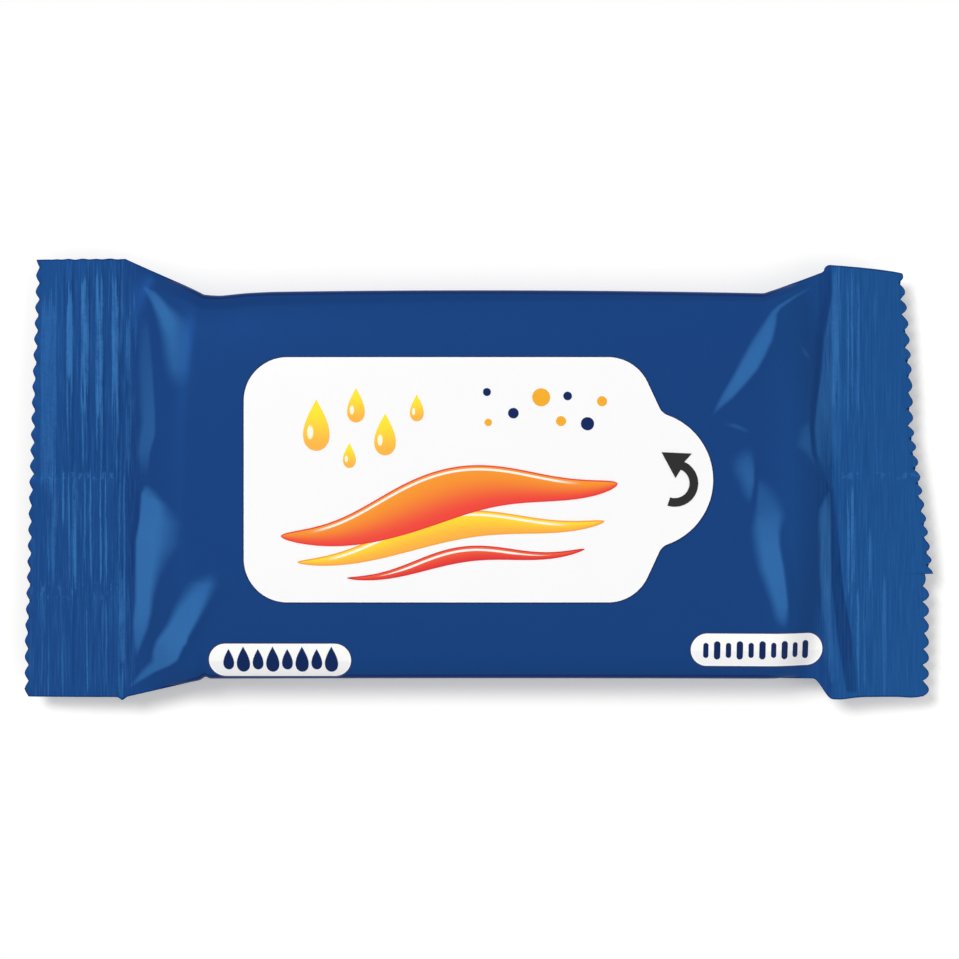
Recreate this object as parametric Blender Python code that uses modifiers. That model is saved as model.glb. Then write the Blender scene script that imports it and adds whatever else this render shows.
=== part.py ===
# Wet wipes pack: a film pouch with crimped end seals, and a peel-and-reseal label on its front.
# X runs along the pack, Y across it and Z up. The pack lies on its back, with the origin under its middle.
import math

import bmesh
import bpy
from mathutils import Vector

# Pouch, in metres
PACK_LENGTH = 0.1400       # tooth tip to tooth tip
FLAT_WIDTH = 0.0673        # width of the film tube where it is pressed flat, at the end seals
BODY_WIDTH = 0.0590        # width over the wipes, at the ends of the body
BODY_BULGE = 0.0002        # each side stands out this much more at mid-length
BODY_SHIFT = 0.0011        # the filled body sits this much to the fin's side of the seals
PACK_THICKNESS = 0.0120    # back to the top of the crown
CROWN_FALL = 0.0006        # how much lower the front is at the body's ends than in its middle
EDGE_FULLNESS = 4.2        # exponent of the body's section: 2 is an ellipse, more is squarer
SEAL_ROOT = 0.65           # the same by the seals, where less than 1 lets the two films part softly
BACK_FLAT_SHARE = 0.66     # share of the half width over which the back is flat
FILM_BREADTH = 0.00050     # both film layers of a seal, pressed together

# End seals
SEAL_DEPTH = 0.0157        # inner line of a seal to its tooth tips
SEAL_HEIGHT = 0.0056       # middle of the end seals above the back
SEAL_DROOP = 0.0012        # how much lower their cut edges hang
RIB_COUNT = 4
RIB_START = 0.00055        # first rib's foot, outwards from the inner line
RIB_PITCH = 0.00235
RIB_HEIGHT = 0.00035
RIB_CREST = 0.00085        # flat top of a rib
RIB_FLANK = 0.00032        # length of its sloping side

# Shoulders, where the flat tube opens into the body: their lengths along X at the four corners
SHOULDER_LEFT_FRONT = 0.0122
SHOULDER_LEFT_BACK = 0.0127
SHOULDER_RIGHT_FRONT = 0.0100
SHOULDER_RIGHT_BACK = 0.0030
RISE_LEFT = 0.0100         # length over which the film rises to the front, on the centre line
RISE_RIGHT = 0.0080        # the same at the right end
RISE_EXTRA = 0.0028        # how much longer it is at the sides
CORE_SHARE = 0.80          # share of the width that opens at the inner line: the rest lies flat
CREASE_FADE = 0.0030       # the creases flatten out over this length towards the seal

# Knife cuts: the left one leans, the right one leans more and steps back past the fin
TOOTH_COUNT = 28
LEFT_TOOTH_DEPTH = 0.00065
RIGHT_TOOTH_DEPTH = 0.00095
LEFT_CUT_LEAN = 0.0018     # how far the left cut lies inwards at the +Y corner
RIGHT_CUT_LEAN = 0.0031    # the same at the right, over the middle of the cut
RIGHT_LEAN_SHARE = 0.47    # share of the cut, from the fin's edge to the +Y corner, that leans so
RIGHT_CORNER_CURL = 0.0016 # and its +Y corner curls in this much more
RIGHT_CUT_STEP = 0.0010    # the edge lies this far back on the -Y side of the fin
RIGHT_SEAL_INSET = 0.0009  # the right seal's +Y edge lies this far inside the left one's
RIGHT_SEAL_TAPER = 0.0010  # and comes in this much more by its cut

# Fin seal along the back, folded flat towards -Y
FIN_ROOT_Y = 0.0003
FIN_WIDTH = 0.0151
FIN_THICKNESS = 0.00035
FIN_STEP = 0.0003          # width of the step at the fin's two edges
FIN_RELIEF = 0.0035        # the back film meets the table again this far from the fin

# Reseal label
LABEL_LENGTH = 0.0619      # without its tab
LABEL_WIDTH = 0.0374
LABEL_LEFT = -0.0357       # X of its left edge
LABEL_CENTRE_Y = -0.0002
LABEL_CORNER = 0.0066
LABEL_THICKNESS = 0.0002
LABEL_GAP = 0.0003         # clearance between the label and the film
LABEL_CELL = 0.0050        # size of the patches in which the label follows the crown
FLANK_ANGLE = math.radians(25)   # how far the label's shoulder leans at the tab
TAB_RADIUS = 0.01035
TAB_REACH = 0.0712         # label's left edge to the tip of the tab
NECK_RADIUS = 0.0022       # hollow between the label and its tab

# Mesh fineness
SIDE_SHARES = (0.0, 0.11, 0.22, 0.33, 0.43, 0.53, 0.62, 0.70, 0.77, 0.84, 0.90, 0.95, 0.978)
LAST_SHARE = 0.993         # the last section point before the edge
SHOULDER_STATION = 0.0009  # greatest spacing of the sections in the shoulders
BODY_STATION = 0.0065      # and over the wipes
CUT_SPARE = 0.0012         # film past the tooth tips, which the knife takes away
TOOTH_STEPS = 4
ARC_STEP = math.radians(12)

LEFT_SEAL_X = -PACK_LENGTH / 2 + SEAL_DEPTH
RIGHT_SEAL_X = PACK_LENGTH / 2 - SEAL_DEPTH
FIN_EDGE_Y = FIN_ROOT_Y - FIN_WIDTH
TOOTH_PITCH = FLAT_WIDTH / TOOTH_COUNT
CUT_STEP_Y = -FLAT_WIDTH / 2 + TOOTH_PITCH * round((FIN_EDGE_Y + FLAT_WIDTH / 2) / TOOTH_PITCH)

# Creases of the front film, as ridges from one point to another: distance in from the seal's inner line and
# share of the half width. Each has its greatest height, and its widths on the left and right hand of that way.
LEFT_CREASES = (
    {"start": (0.0020, 0.92), "end": (0.0090, 0.46), "height": 0.0012, "widths": (0.0010, 0.0024)},
    {"start": (0.0034, 0.02), "end": (0.0022, -0.80), "height": 0.0010, "widths": (0.0024, 0.0010)},
    {"start": (0.0010, -0.95), "end": (0.0132, -0.46), "height": 0.0013, "widths": (0.0024, 0.0010)},
)
RIGHT_CREASES = (
    {"start": (0.0036, 0.94), "end": (0.0180, 0.36), "height": 0.0011, "widths": (0.0012, 0.0018)},
    {"start": (0.0142, 0.12), "end": (0.0076, -0.72), "height": 0.0011, "widths": (0.0010, 0.0024)},
    {"start": (0.0024, 0.55), "end": (0.0020, -0.20), "height": 0.0009, "widths": (0.0010, 0.0018)},
)


def clamp(value):
    return max(0.0, min(1.0, value))


def mix(a, b, share):
    return a + (b - a) * share


def smooth(share):
    share = clamp(share)
    return share * share * (3 - 2 * share)


def on_left(x):
    return x < (LEFT_SEAL_X + RIGHT_SEAL_X) / 2


def depth_inside(x):
    """Distance from the nearer seal's inner line, positive towards the middle of the pack."""
    return min(x - LEFT_SEAL_X, RIGHT_SEAL_X - x)


def middle_share(x):
    """1 at mid-length, falling to 0 at the seals' inner lines."""
    return clamp(1 - (2 * x / (RIGHT_SEAL_X - LEFT_SEAL_X)) ** 2)


def edge_y(x, side):
    """Y of the pouch's outline at x, on its +Y side (side 1) or its -Y side (side -1)."""
    left = on_left(x)
    inside = depth_inside(x)
    seal = FLAT_WIDTH / 2
    body = BODY_WIDTH / 2 - side * BODY_SHIFT + BODY_BULGE * middle_share(x)
    if side > 0:
        shoulder = SHOULDER_LEFT_FRONT if left else SHOULDER_RIGHT_FRONT
        if not left:
            seal -= RIGHT_SEAL_INSET + RIGHT_SEAL_TAPER * clamp(-inside / SEAL_DEPTH)
        share = clamp(inside / shoulder)
    else:
        shoulder = SHOULDER_LEFT_BACK if left else SHOULDER_RIGHT_BACK
        share = clamp(inside / shoulder) if left else smooth(inside / shoulder)
    return side * mix(seal, body, share)


def rise_length(x):
    return RISE_LEFT if on_left(x) else RISE_RIGHT


def side_opening(x):
    """How far the pouch's sides have opened at x, from 0 at the seal's inner line to 1 over the wipes."""
    return smooth(depth_inside(x) / (rise_length(x) + RISE_EXTRA))


def core_y(x, side):
    """Y of the line where the two films part, inside the outline at a shoulder and on it along the body."""
    centre = -BODY_SHIFT
    opening = mix(CORE_SHARE, LAST_SHARE, side_opening(x))
    return centre + (edge_y(x, side) - centre) * opening


def across(x, y):
    """Share of the half width at which y lies: 0 on the body's centre line, 1 on the outline."""
    centre = -BODY_SHIFT
    edge = edge_y(x, 1 if y > centre else -1)
    return abs(y - centre) / abs(edge - centre)


def rise(x, y):
    """How far the film has opened at a point, from 0 at the seal's inner line to 1 over the wipes."""
    reach = rise_length(x) + RISE_EXTRA * across(x, y) ** 2
    return math.sin(math.pi / 2 * clamp(depth_inside(x) / reach))


def section(x, y, flat_share):
    """Height of the pouch's half section as a share of its greatest: a lens at a seal, squarer over the wipes."""
    centre = -BODY_SHIFT
    side = 1 if y > centre else -1
    opened = side_opening(x)
    reach = mix(abs(core_y(x, side) - centre), abs(edge_y(x, side) - centre), opened)
    share = clamp(abs(y - centre) / reach)
    share = clamp((share - flat_share * opened) / (1 - flat_share * opened))
    power = mix(2.0, EDGE_FULLNESS, opened)
    root = mix(SEAL_ROOT, EDGE_FULLNESS, opened)
    return (1 - share**power) ** (1 / root)


def crease_point(crease, end, left):
    inside, share = crease[end]
    x = LEFT_SEAL_X + inside if left else RIGHT_SEAL_X - inside
    centre = -BODY_SHIFT
    return Vector((x, centre + abs(share) * (edge_y(x, 1 if share > 0 else -1) - centre)))


def crease_height(x, y):
    """Height that the raised folds add to the front film: each fades out at both ends and to its sides."""
    left = on_left(x)
    height = 0.0
    for crease in LEFT_CREASES if left else RIGHT_CREASES:
        start = crease_point(crease, "start", left)
        along = crease_point(crease, "end", left) - start
        offset = Vector((x, y)) - start
        share = clamp(offset.dot(along) / along.length_squared)
        width = crease["widths"][0 if along.cross(offset) > 0 else 1]
        away = (offset - along * share).length / width
        height += crease["height"] * math.exp(-away * away) * math.sin(math.pi * mix(0.12, 0.88, share))
    return height * smooth(depth_inside(x) / CREASE_FADE)


def rib_height(x):
    """Height of the crimped ribs at x, which run across both seals."""
    into_ribs = -depth_inside(x) - RIB_START
    if not 0 < into_ribs < RIB_COUNT * RIB_PITCH:
        return 0.0
    from_crest = abs(into_ribs % RIB_PITCH - RIB_PITCH / 2) - RIB_CREST / 2
    return RIB_HEIGHT * clamp(1 - from_crest / RIB_FLANK)


def seal_z(x):
    """Height of the line between the two films: level along the body, and hanging a little in the seals."""
    return SEAL_HEIGHT - SEAL_DROOP * clamp(-depth_inside(x) / SEAL_DEPTH) ** 2 + rib_height(x)


def front_z(x, y):
    """Height of the front film."""
    crown = PACK_THICKNESS - CROWN_FALL * (1 - middle_share(x))
    open_height = (crown - SEAL_HEIGHT - FILM_BREADTH / 2) * rise(x, y) + crease_height(x, y)
    return seal_z(x) + FILM_BREADTH / 2 + open_height * section(x, y, 0.0)


def back_z(x, y):
    """Height of the back film and, over the fin's width, of the fin's outer face."""
    opened = rise(x, y)
    film = seal_z(x) - FILM_BREADTH / 2
    film -= (SEAL_HEIGHT - FILM_BREADTH / 2) * opened * section(x, y, BACK_FLAT_SHARE)
    on_fin = 1.0 if FIN_EDGE_Y <= y <= FIN_ROOT_Y else 0.0
    past_fin = max(y - FIN_ROOT_Y, FIN_EDGE_Y - y, 0.0) - FIN_STEP
    beside_fin = clamp(1 - past_fin / (FIN_RELIEF - FIN_STEP))
    return film + FIN_THICKNESS * (beside_fin * opened - on_fin)


def front_row(x):
    """Y values of the front film's points at x, from the -Y edge to the +Y edge."""
    centre = -BODY_SHIFT
    half = [centre + (core_y(x, 1) - centre) * share / LAST_SHARE for share in SIDE_SHARES[1:] + (LAST_SHARE,)]
    other = [centre + (core_y(x, -1) - centre) * share / LAST_SHARE for share in SIDE_SHARES[1:] + (LAST_SHARE,)]
    return [edge_y(x, -1)] + other[::-1] + [centre] + half + [edge_y(x, 1)]


def back_row(x):
    """Y values of the back film's points at x, from the +Y edge to the -Y edge, with the fin's edges among them."""
    root, edge = FIN_ROOT_Y, FIN_EDGE_Y
    plus, minus = root + FIN_RELIEF, edge - FIN_RELIEF
    plus_side = [mix(plus, core_y(x, 1), share) for share in (0.0, 0.4, 0.66, 0.82, 0.92, 0.97, 1.0)]
    minus_side = [mix(minus, core_y(x, -1), share) for share in (0.0, 0.4, 0.66, 0.84, 0.94, 1.0)]
    fin = [root + FIN_STEP, root, mix(root, edge, 0.33), mix(root, edge, 0.67), edge, edge - FIN_STEP]
    return [edge_y(x, 1)] + plus_side[::-1] + fin + minus_side + [edge_y(x, -1)]


def spaced(start, end, spacing):
    """Values from start to end, no further apart than spacing, without the end itself."""
    count = max(1, math.ceil(abs(end - start) / spacing - 1e-6))
    return [mix(start, end, i / count) for i in range(count)]


def stations():
    """X of every section of the pouch: four on each rib, close together in the shoulders, wide over the wipes."""
    half_rib = RIB_CREST / 2
    ribs = []
    for i in range(RIB_COUNT):
        middle = RIB_START + (i + 0.5) * RIB_PITCH
        ribs += [middle - half_rib - RIB_FLANK, middle - half_rib, middle + half_rib, middle + half_rib + RIB_FLANK]
    left_body = LEFT_SEAL_X + max(RISE_LEFT + RISE_EXTRA, SHOULDER_LEFT_FRONT, SHOULDER_LEFT_BACK)
    right_body = RIGHT_SEAL_X - max([RISE_RIGHT + RISE_EXTRA] + [crease["start"][0] for crease in RIGHT_CREASES])
    return (
        [-PACK_LENGTH / 2 - CUT_SPARE]
        + [LEFT_SEAL_X - depth for depth in reversed(ribs)]
        + spaced(LEFT_SEAL_X, left_body, SHOULDER_STATION)
        + spaced(left_body, right_body, BODY_STATION)
        + spaced(right_body, RIGHT_SEAL_X, SHOULDER_STATION)
        + [RIGHT_SEAL_X]
        + [RIGHT_SEAL_X + depth for depth in ribs]
        + [PACK_LENGTH / 2 + CUT_SPARE]
    )


def loft(name, rings):
    """A closed body through rings of points that all have the same count."""
    bm = bmesh.new()
    rows = [[bm.verts.new(point) for point in ring] for ring in rings]
    count = len(rings[0])
    for row, following in zip(rows, rows[1:]):
        for i in range(count):
            j = (i + 1) % count
            bm.faces.new((row[i], row[j], following[j], following[i]))
    bm.faces.new(rows[0])
    bm.faces.new(rows[-1])
    bmesh.ops.recalc_face_normals(bm, faces=bm.faces)
    mesh = bpy.data.meshes.new(name)
    bm.to_mesh(mesh)
    bm.free()
    return bpy.data.objects.new(name, mesh)


def flat_outline(name, points, thickness):
    """A mesh of the area inside an outline: a sheet, or a slab if it has a thickness, centred on z 0."""
    curve = bpy.data.curves.new(name, "CURVE")
    curve.dimensions = "2D"
    curve.fill_mode = "BOTH" if thickness else "FRONT"
    curve.extrude = thickness / 2
    spline = curve.splines.new("POLY")
    spline.points.add(len(points) - 1)
    for place, point in zip(spline.points, points):
        place.co = (point[0], point[1], 0.0, 1.0)
    spline.use_cyclic_u = True
    drawn = bpy.data.objects.new(name + "_outline", curve)
    bpy.context.scene.collection.objects.link(drawn)
    graph = bpy.context.evaluated_depsgraph_get()
    mesh = bpy.data.meshes.new_from_object(drawn.evaluated_get(graph))
    bpy.data.objects.remove(drawn)
    bm = bmesh.new()
    bm.from_mesh(mesh)
    bmesh.ops.remove_doubles(bm, verts=bm.verts, dist=1e-6)
    bmesh.ops.recalc_face_normals(bm, faces=bm.faces)
    bm.to_mesh(mesh)
    bm.free()
    return bpy.data.objects.new(name, mesh)


def arc(centre, radius, start, end):
    """Points on an arc about centre, from one angle to another."""
    count = max(2, math.ceil(abs(end - start) / ARC_STEP))
    return [
        (centre[0] + radius * math.cos(angle), centre[1] + radius * math.sin(angle))
        for angle in (mix(start, end, i / count) for i in range(count + 1))
    ]


def label_outline():
    """The label's outline: a rounded rectangle whose right end narrows, through a hollow neck, to a round tab."""
    left, half = LABEL_LEFT, LABEL_WIDTH / 2
    right = left + LABEL_LENGTH
    corner = min(LABEL_CORNER, half, LABEL_LENGTH / 2)
    tab = Vector((left + TAB_REACH - TAB_RADIUS, 0.0))
    middle = Vector((right - corner, half - corner))
    normal = Vector((math.cos(FLANK_ANGLE), math.sin(FLANK_ANGLE)))
    down = Vector((normal.y, -normal.x))
    # The neck's hollow touches the leaning flank and the round tab from outside.
    offset = middle + normal * (corner + NECK_RADIUS) - tab
    half_way = -offset.dot(down)
    along = half_way - math.sqrt(max(0.0, half_way**2 - offset.length_squared + (TAB_RADIUS + NECK_RADIUS) ** 2))
    neck = tab + offset + down * max(0.0, along)
    to_tab = math.atan2(tab.y - neck.y, tab.x - neck.x)
    upper = arc((left + corner, half - corner), corner, math.pi, math.pi / 2)
    upper += arc(middle, corner, math.pi / 2, FLANK_ANGLE)
    upper += arc(neck, NECK_RADIUS, FLANK_ANGLE - math.pi, to_tab)
    upper += arc(tab, TAB_RADIUS, to_tab + math.pi, 0.0)
    lower = [(x, -y) for x, y in reversed(upper[:-1])]
    return [(x, y + LABEL_CENTRE_Y) for x, y in upper + lower]


def drape(label):
    """Cuts the label's sheet into patches and lays it over the front film."""
    bm = bmesh.new()
    bm.from_mesh(label.data)
    for axis in (Vector((1, 0, 0)), Vector((0, 1, 0))):
        low = min(v.co.dot(axis) for v in bm.verts)
        high = max(v.co.dot(axis) for v in bm.verts)
        for place in spaced(low, high, LABEL_CELL)[1:]:
            everything = bm.verts[:] + bm.edges[:] + bm.faces[:]
            bmesh.ops.bisect_plane(bm, geom=everything, plane_co=axis * place, plane_no=axis)
    for vert in bm.verts:
        vert.co.z = front_z(vert.co.x, vert.co.y) + LABEL_GAP
    bm.normal_update()
    if sum(face.normal.z for face in bm.faces) < 0:
        bmesh.ops.reverse_faces(bm, faces=bm.faces)
    bm.to_mesh(label.data)
    bm.free()


def left_cut(y):
    """X of the left cut's tooth tips."""
    return -PACK_LENGTH / 2 + LEFT_CUT_LEAN * clamp(0.5 + (y - TOOTH_PITCH) / FLAT_WIDTH)


def right_cut(y):
    """X of the right cut's tooth tips: the tooth next to the step reaches furthest."""
    if y < CUT_STEP_Y:
        return PACK_LENGTH / 2 - RIGHT_CUT_STEP
    share = (y - TOOTH_PITCH - CUT_STEP_Y) / (FLAT_WIDTH / 2 - CUT_STEP_Y)
    lean = RIGHT_CUT_LEAN * clamp(share / RIGHT_LEAN_SHARE)
    curl = RIGHT_CORNER_CURL * clamp((share - RIGHT_LEAN_SHARE) / (1 - RIGHT_LEAN_SHARE)) ** 2
    return PACK_LENGTH / 2 - lean - curl


def knife(name, side, cut, tooth_depth):
    """The waste past one toothed cut, as a slab: rounded lobes of film with sharp notches between them."""
    toothed = []
    for i in range(-TOOTH_STEPS, (TOOTH_COUNT + 1) * TOOTH_STEPS + 1):
        y = -FLAT_WIDTH / 2 + TOOTH_PITCH * i / TOOTH_STEPS
        lobe = abs(math.sin(math.pi * i / TOOTH_STEPS))
        toothed.append((cut(y) - side * tooth_depth * (1 - lobe), y))
    far = side * (PACK_LENGTH / 2 + 4 * CUT_SPARE)
    points = toothed + [(far, toothed[-1][1]), (far, toothed[0][1])]
    slab = flat_outline(name, points, 4 * PACK_THICKNESS)
    slab.hide_render = True
    slab.display_type = "WIRE"
    return slab


def material(name, colour, roughness):
    made = bpy.data.materials.new(name)
    made.use_nodes = True
    shader = made.node_tree.nodes["Principled BSDF"]
    shader.inputs["Base Color"].default_value = (*colour, 1.0)
    shader.inputs["Roughness"].default_value = roughness
    shader.inputs["Metallic"].default_value = 0.0
    return made


def build_film_pack(parts, cutters):
    """The sealed pouch with its wipes: one body from end seal to end seal, with the fin along its back."""
    rings = []
    for x in stations():
        front = [(x, y, front_z(x, y)) for y in front_row(x)]
        back = [(x, y, back_z(x, y)) for y in back_row(x)]
        rings.append(front + back)
    pack = loft("film_pack", rings)
    pack.data.materials.append(material("printed_film", (0.0123, 0.0595, 0.2159), 0.35))
    parts.objects.link(pack)
    knives = (
        knife("left_knife", -1, left_cut, LEFT_TOOTH_DEPTH),
        knife("right_knife", 1, right_cut, RIGHT_TOOTH_DEPTH),
    )
    bpy.context.view_layer.objects.active = pack
    for slab in knives:
        cutters.objects.link(slab)
        cut = pack.modifiers.new(slab.name, "BOOLEAN")
        cut.operation = "DIFFERENCE"
        cut.object = slab
        bpy.ops.object.modifier_apply(modifier=cut.name)
    pack.data.shade_smooth()
    pack.data.set_sharp_from_angle(angle=math.radians(30))


def build_reseal_label(parts):
    """The self-adhesive label, a thin sheet that follows the crown of the front film."""
    label = flat_outline("reseal_label", label_outline(), 0.0)
    drape(label)
    label.data.materials.append(material("label_stock", (0.91, 0.91, 0.91), 0.45))
    parts.objects.link(label)
    body = label.modifiers.new("thickness", "SOLIDIFY")
    body.thickness = LABEL_THICKNESS
    body.offset = 1.0


def main():
    for obj in list(bpy.data.objects):
        bpy.data.objects.remove(obj)
    parts = bpy.data.collections.new("wet_wipes_pack")
    cutters = bpy.data.collections.new("knives")
    for collection in (parts, cutters):
        bpy.context.scene.collection.children.link(collection)
    build_film_pack(parts, cutters)
    build_reseal_label(parts)


main()
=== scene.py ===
import math

import bmesh
import bpy
import numpy as np
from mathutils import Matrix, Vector


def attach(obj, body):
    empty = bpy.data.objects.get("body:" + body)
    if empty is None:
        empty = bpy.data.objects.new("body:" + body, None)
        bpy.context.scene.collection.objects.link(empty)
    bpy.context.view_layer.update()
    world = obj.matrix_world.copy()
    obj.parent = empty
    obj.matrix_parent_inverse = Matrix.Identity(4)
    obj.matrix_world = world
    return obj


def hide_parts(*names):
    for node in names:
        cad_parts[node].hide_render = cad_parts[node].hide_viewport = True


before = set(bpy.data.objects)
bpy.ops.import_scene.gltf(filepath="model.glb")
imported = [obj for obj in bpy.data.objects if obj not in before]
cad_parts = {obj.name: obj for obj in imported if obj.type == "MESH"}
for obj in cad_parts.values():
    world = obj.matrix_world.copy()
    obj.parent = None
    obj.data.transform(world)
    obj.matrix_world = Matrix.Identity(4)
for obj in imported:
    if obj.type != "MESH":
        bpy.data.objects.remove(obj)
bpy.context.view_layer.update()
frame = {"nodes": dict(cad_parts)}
mm = 0.001
print("frame loaded:", ", ".join(frame["nodes"]))


# Small helpers

def clamp(value):
    return np.clip(value, 0.0, 1.0)


def mix(a, b, share):
    return a + (b - a) * share


def smooth(share):
    share = clamp(share)
    return share * share * (3 - 2 * share)


def eased(value, zero, one):
    # 0 up to zero, 1 from one on, and a smooth step between them
    return smooth((value - zero) / (one - zero))


def bell(distance, width):
    return np.exp(-((distance / width) ** 2))


def bumps(x, places):
    # a sum of bells, each given by its X, height and half length
    return sum(height * bell(x - at, width) for at, height, width in places)


def ink(red, green, blue):
    # an 8 bit print colour as the linear colour a shader takes
    tones = [v / 255 for v in (red, green, blue)]
    return tuple(v / 12.92 if v <= 0.04045 else ((v + 0.055) / 1.055) ** 2.4 for v in tones) + (1.0,)


def feed(tree, node, inputs):
    # sets a node's inputs, given as numbers, colours or other nodes' sockets
    for key, value in inputs.items():
        if isinstance(value, bpy.types.NodeSocket):
            tree.links.new(value, node.inputs[key])
        else:
            node.inputs[key].default_value = value
    return node


def addNode(tree, kind, inputs=None, **settings):
    node = tree.nodes.new(kind)
    for name, value in settings.items():
        setattr(node, name, value)
    return feed(tree, node, inputs or {})


def maths(tree, operation, *values):
    return addNode(tree, "ShaderNodeMath", dict(enumerate(values)), operation=operation).outputs[0]


def plus(tree, first, *others):
    for other in others:
        first = maths(tree, "ADD", first, other)
    return first


def times(tree, first, *others):
    for other in others:
        first = maths(tree, "MULTIPLY", first, other)
    return first


def minus(tree, a, b):
    return maths(tree, "SUBTRACT", a, b)


def weighted(tree, base, *terms):
    # base plus each term's value times its weight
    for value, weight in terms:
        base = maths(tree, "MULTIPLY_ADD", value, weight, base)
    return base


def held(tree, value):
    # kept between 0 and 1
    return addNode(tree, "ShaderNodeClamp", {0: value}).outputs[0]


def ramp(tree, value, low, high):
    # 0 below low, 1 above high and a smooth step between them
    node = addNode(tree, "ShaderNodeMapRange", {0: value, 1: low, 2: high}, interpolation_type="SMOOTHSTEP")
    return node.outputs[0]


def fall(tree, value, low, high):
    # 1 below low and 0 above high
    return minus(tree, 1.0, ramp(tree, value, low, high))


def near(tree, value, middle, full, none):
    # 1 up to the distance full from the middle, and 0 from the distance none
    return fall(tree, maths(tree, "ABSOLUTE", minus(tree, value, middle)), full, none)


def choose(tree, second, a, b):
    return addNode(tree, "ShaderNodeMix", {0: second, 2: a, 3: b}).outputs[0]


def blendColour(tree, share, a, b):
    return addNode(tree, "ShaderNodeMix", {0: share, 6: a, 7: b}, data_type="RGBA").outputs[2]


def vector(tree, x=0.0, y=0.0, z=0.0):
    return addNode(tree, "ShaderNodeCombineXYZ", {0: x, 1: y, 2: z}).outputs[0]


def axesOf(tree, place):
    return addNode(tree, "ShaderNodeSeparateXYZ", {0: place}).outputs


def vectorMaths(tree, operation, *values, output="Vector"):
    node = addNode(tree, "ShaderNodeVectorMath", dict(enumerate(values)), operation=operation)
    return node.outputs[output]


def scaled(tree, value, by):
    return addNode(tree, "ShaderNodeVectorMath", {0: value, "Scale": by}, operation="SCALE").outputs[0]


def objectPlace(tree):
    return addNode(tree, "ShaderNodeTexCoord").outputs["Object"]


def attribute(tree, name):
    return addNode(tree, "ShaderNodeAttribute", attribute_name=name).outputs["Fac"]


# The pouch's own rule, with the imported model's sizes

pouch = {
    "length": 140.0,          # tooth tip to tooth tip
    "flatWidth": 67.3,        # film tube pressed flat, at the seals
    "upperBody": 28.05,       # the body's +Y side at its ends, and how much further out it is at mid-length
    "upperBulge": 0.7,
    "upperBumps": ((-39.4, -0.45, 3.4),),    # X, height and half length
    "lowerBody": 30.78,
    "lowerBulge": -0.12,
    "lowerBumps": ((-54.8, 0.45, 0.45), (-41.9, -0.35, 0.5), (55.2, 0.38, 2.4), (66.9, 0.16, 1.8)),
    "bodyShift": 1.1,         # the filled body sits this much to the fin's side
    "thickness": 12.0,
    "crownFall": 0.6,
    "edgeFullness": 4.2,      # exponent of the body's section
    "sealRoot": 0.65,         # and of its root by the seals, where the two films part softly
    "rootEase": 1.6,
    "coreShare": 0.98,        # share of the width that opens, by the seals and further in
    "openShare": 0.993,
    "backFlatShare": 0.66,
    "filmBreadth": 0.32,      # both layers of a seal
    "sealDepth": 15.7,
    "sealHeight": 5.6,
    "sealDroop": 1.2,
    "sealWave": 0.22,         # the free edges rise and fall this much, one wave over 2 pi times this length
    "waveLength": 7.5,
    "wavePhases": (0.6, 2.2),
    "rise": (10.0, 8.0),      # the film rises over this length by each seal, and over more at the sides
    "riseExtra": 2.8,
    "shoulder": {"leftFront": 12.2, "leftBack": 12.7, "rightFront": 9.4, "rightBack": 3.0},
    "ripple": 0.05,           # small waves on the left seal's upper side, of two lengths
    "rippleLengths": (2.35, 3.7),
    "rippleFrom": (0.0, -1.5),    # they grow and end at these distances from the seal's line
    "rippleTo": (-13.5, -11.5),
    "rightTop": 32.73,        # Y of the right seal's upper side at its lip, and its fall per mm outwards
    "rightFall": 0.075,
    "rightLip": 1.3,          # the lip starts this far inside the seal's line, with this corner radius
    "rightLipRadius": 0.9,
    "rightShoulderTop": 31.7,
    "leftCutLean": 1.8,
    "leftCutFoot": -25.0,     # below this Y the left cut runs straight across
    "rightCutLean": 3.1,
    "rightLeanShare": 0.47,
    "rightCornerCurl": 1.9,
    "rightCutStep": 0.65,
}
finSeal = {
    "root": 0.3,              # Y of the fold
    "width": 15.1,
    "room": 0.35,             # the back film stands this high over the fin
    "relief": 3.5,
    "thickness": 0.22,
    "showThrough": 0.04,      # the seals' front stands up this much over the fin, with sides this long
    "showEase": 1.2,
}
sealX = pouch["length"] / 2 - pouch["sealDepth"]
finEdge = finSeal["root"] - finSeal["width"]
stepY = finEdge               # the right cut steps back where the fin's free edge crosses it
bodyMiddle = -pouch["bodyShift"]


def insideOf(x):
    # distance from the nearer seal's inner line, positive over the wipes
    return sealX - np.abs(x)


def middleShare(x):
    return clamp(1 - (x / sealX) ** 2)


def bySide(x, left, right):
    return np.where(x < 0, left, right)


def upperEdge(x):
    # Y of the pouch's outline on its +Y side
    inside = insideOf(x)
    body = pouch["upperBody"] + pouch["upperBulge"] * middleShare(x) + bumps(x, pouch["upperBumps"])
    left = mix(pouch["flatWidth"] / 2, body, clamp(inside / pouch["shoulder"]["leftFront"]))
    longer, shorter = pouch["rippleLengths"]
    ripple = np.sin(2 * np.pi * (inside + 0.6) / longer) + 0.5 * np.sin(2 * np.pi * inside / shorter)
    rippled = eased(inside, *pouch["rippleFrom"]) * eased(inside, *pouch["rippleTo"])
    left = left + pouch["ripple"] * ripple * rippled
    # the right seal's upper corner stands out past the shoulder in a small lip
    pastLip, radius = pouch["rightLip"] - inside, pouch["rightLipRadius"]
    right = mix(pouch["rightShoulderTop"], body, clamp(-pastLip / pouch["shoulder"]["rightFront"]))
    rounding = radius - np.sqrt(np.maximum(radius**2 - np.maximum(radius - pastLip, 0) ** 2, 0))
    lip = pouch["rightTop"] - pouch["rightFall"] * np.maximum(pastLip - radius, 0) - rounding
    return bySide(x, left, np.where(pastLip > 0, lip, right))


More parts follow.
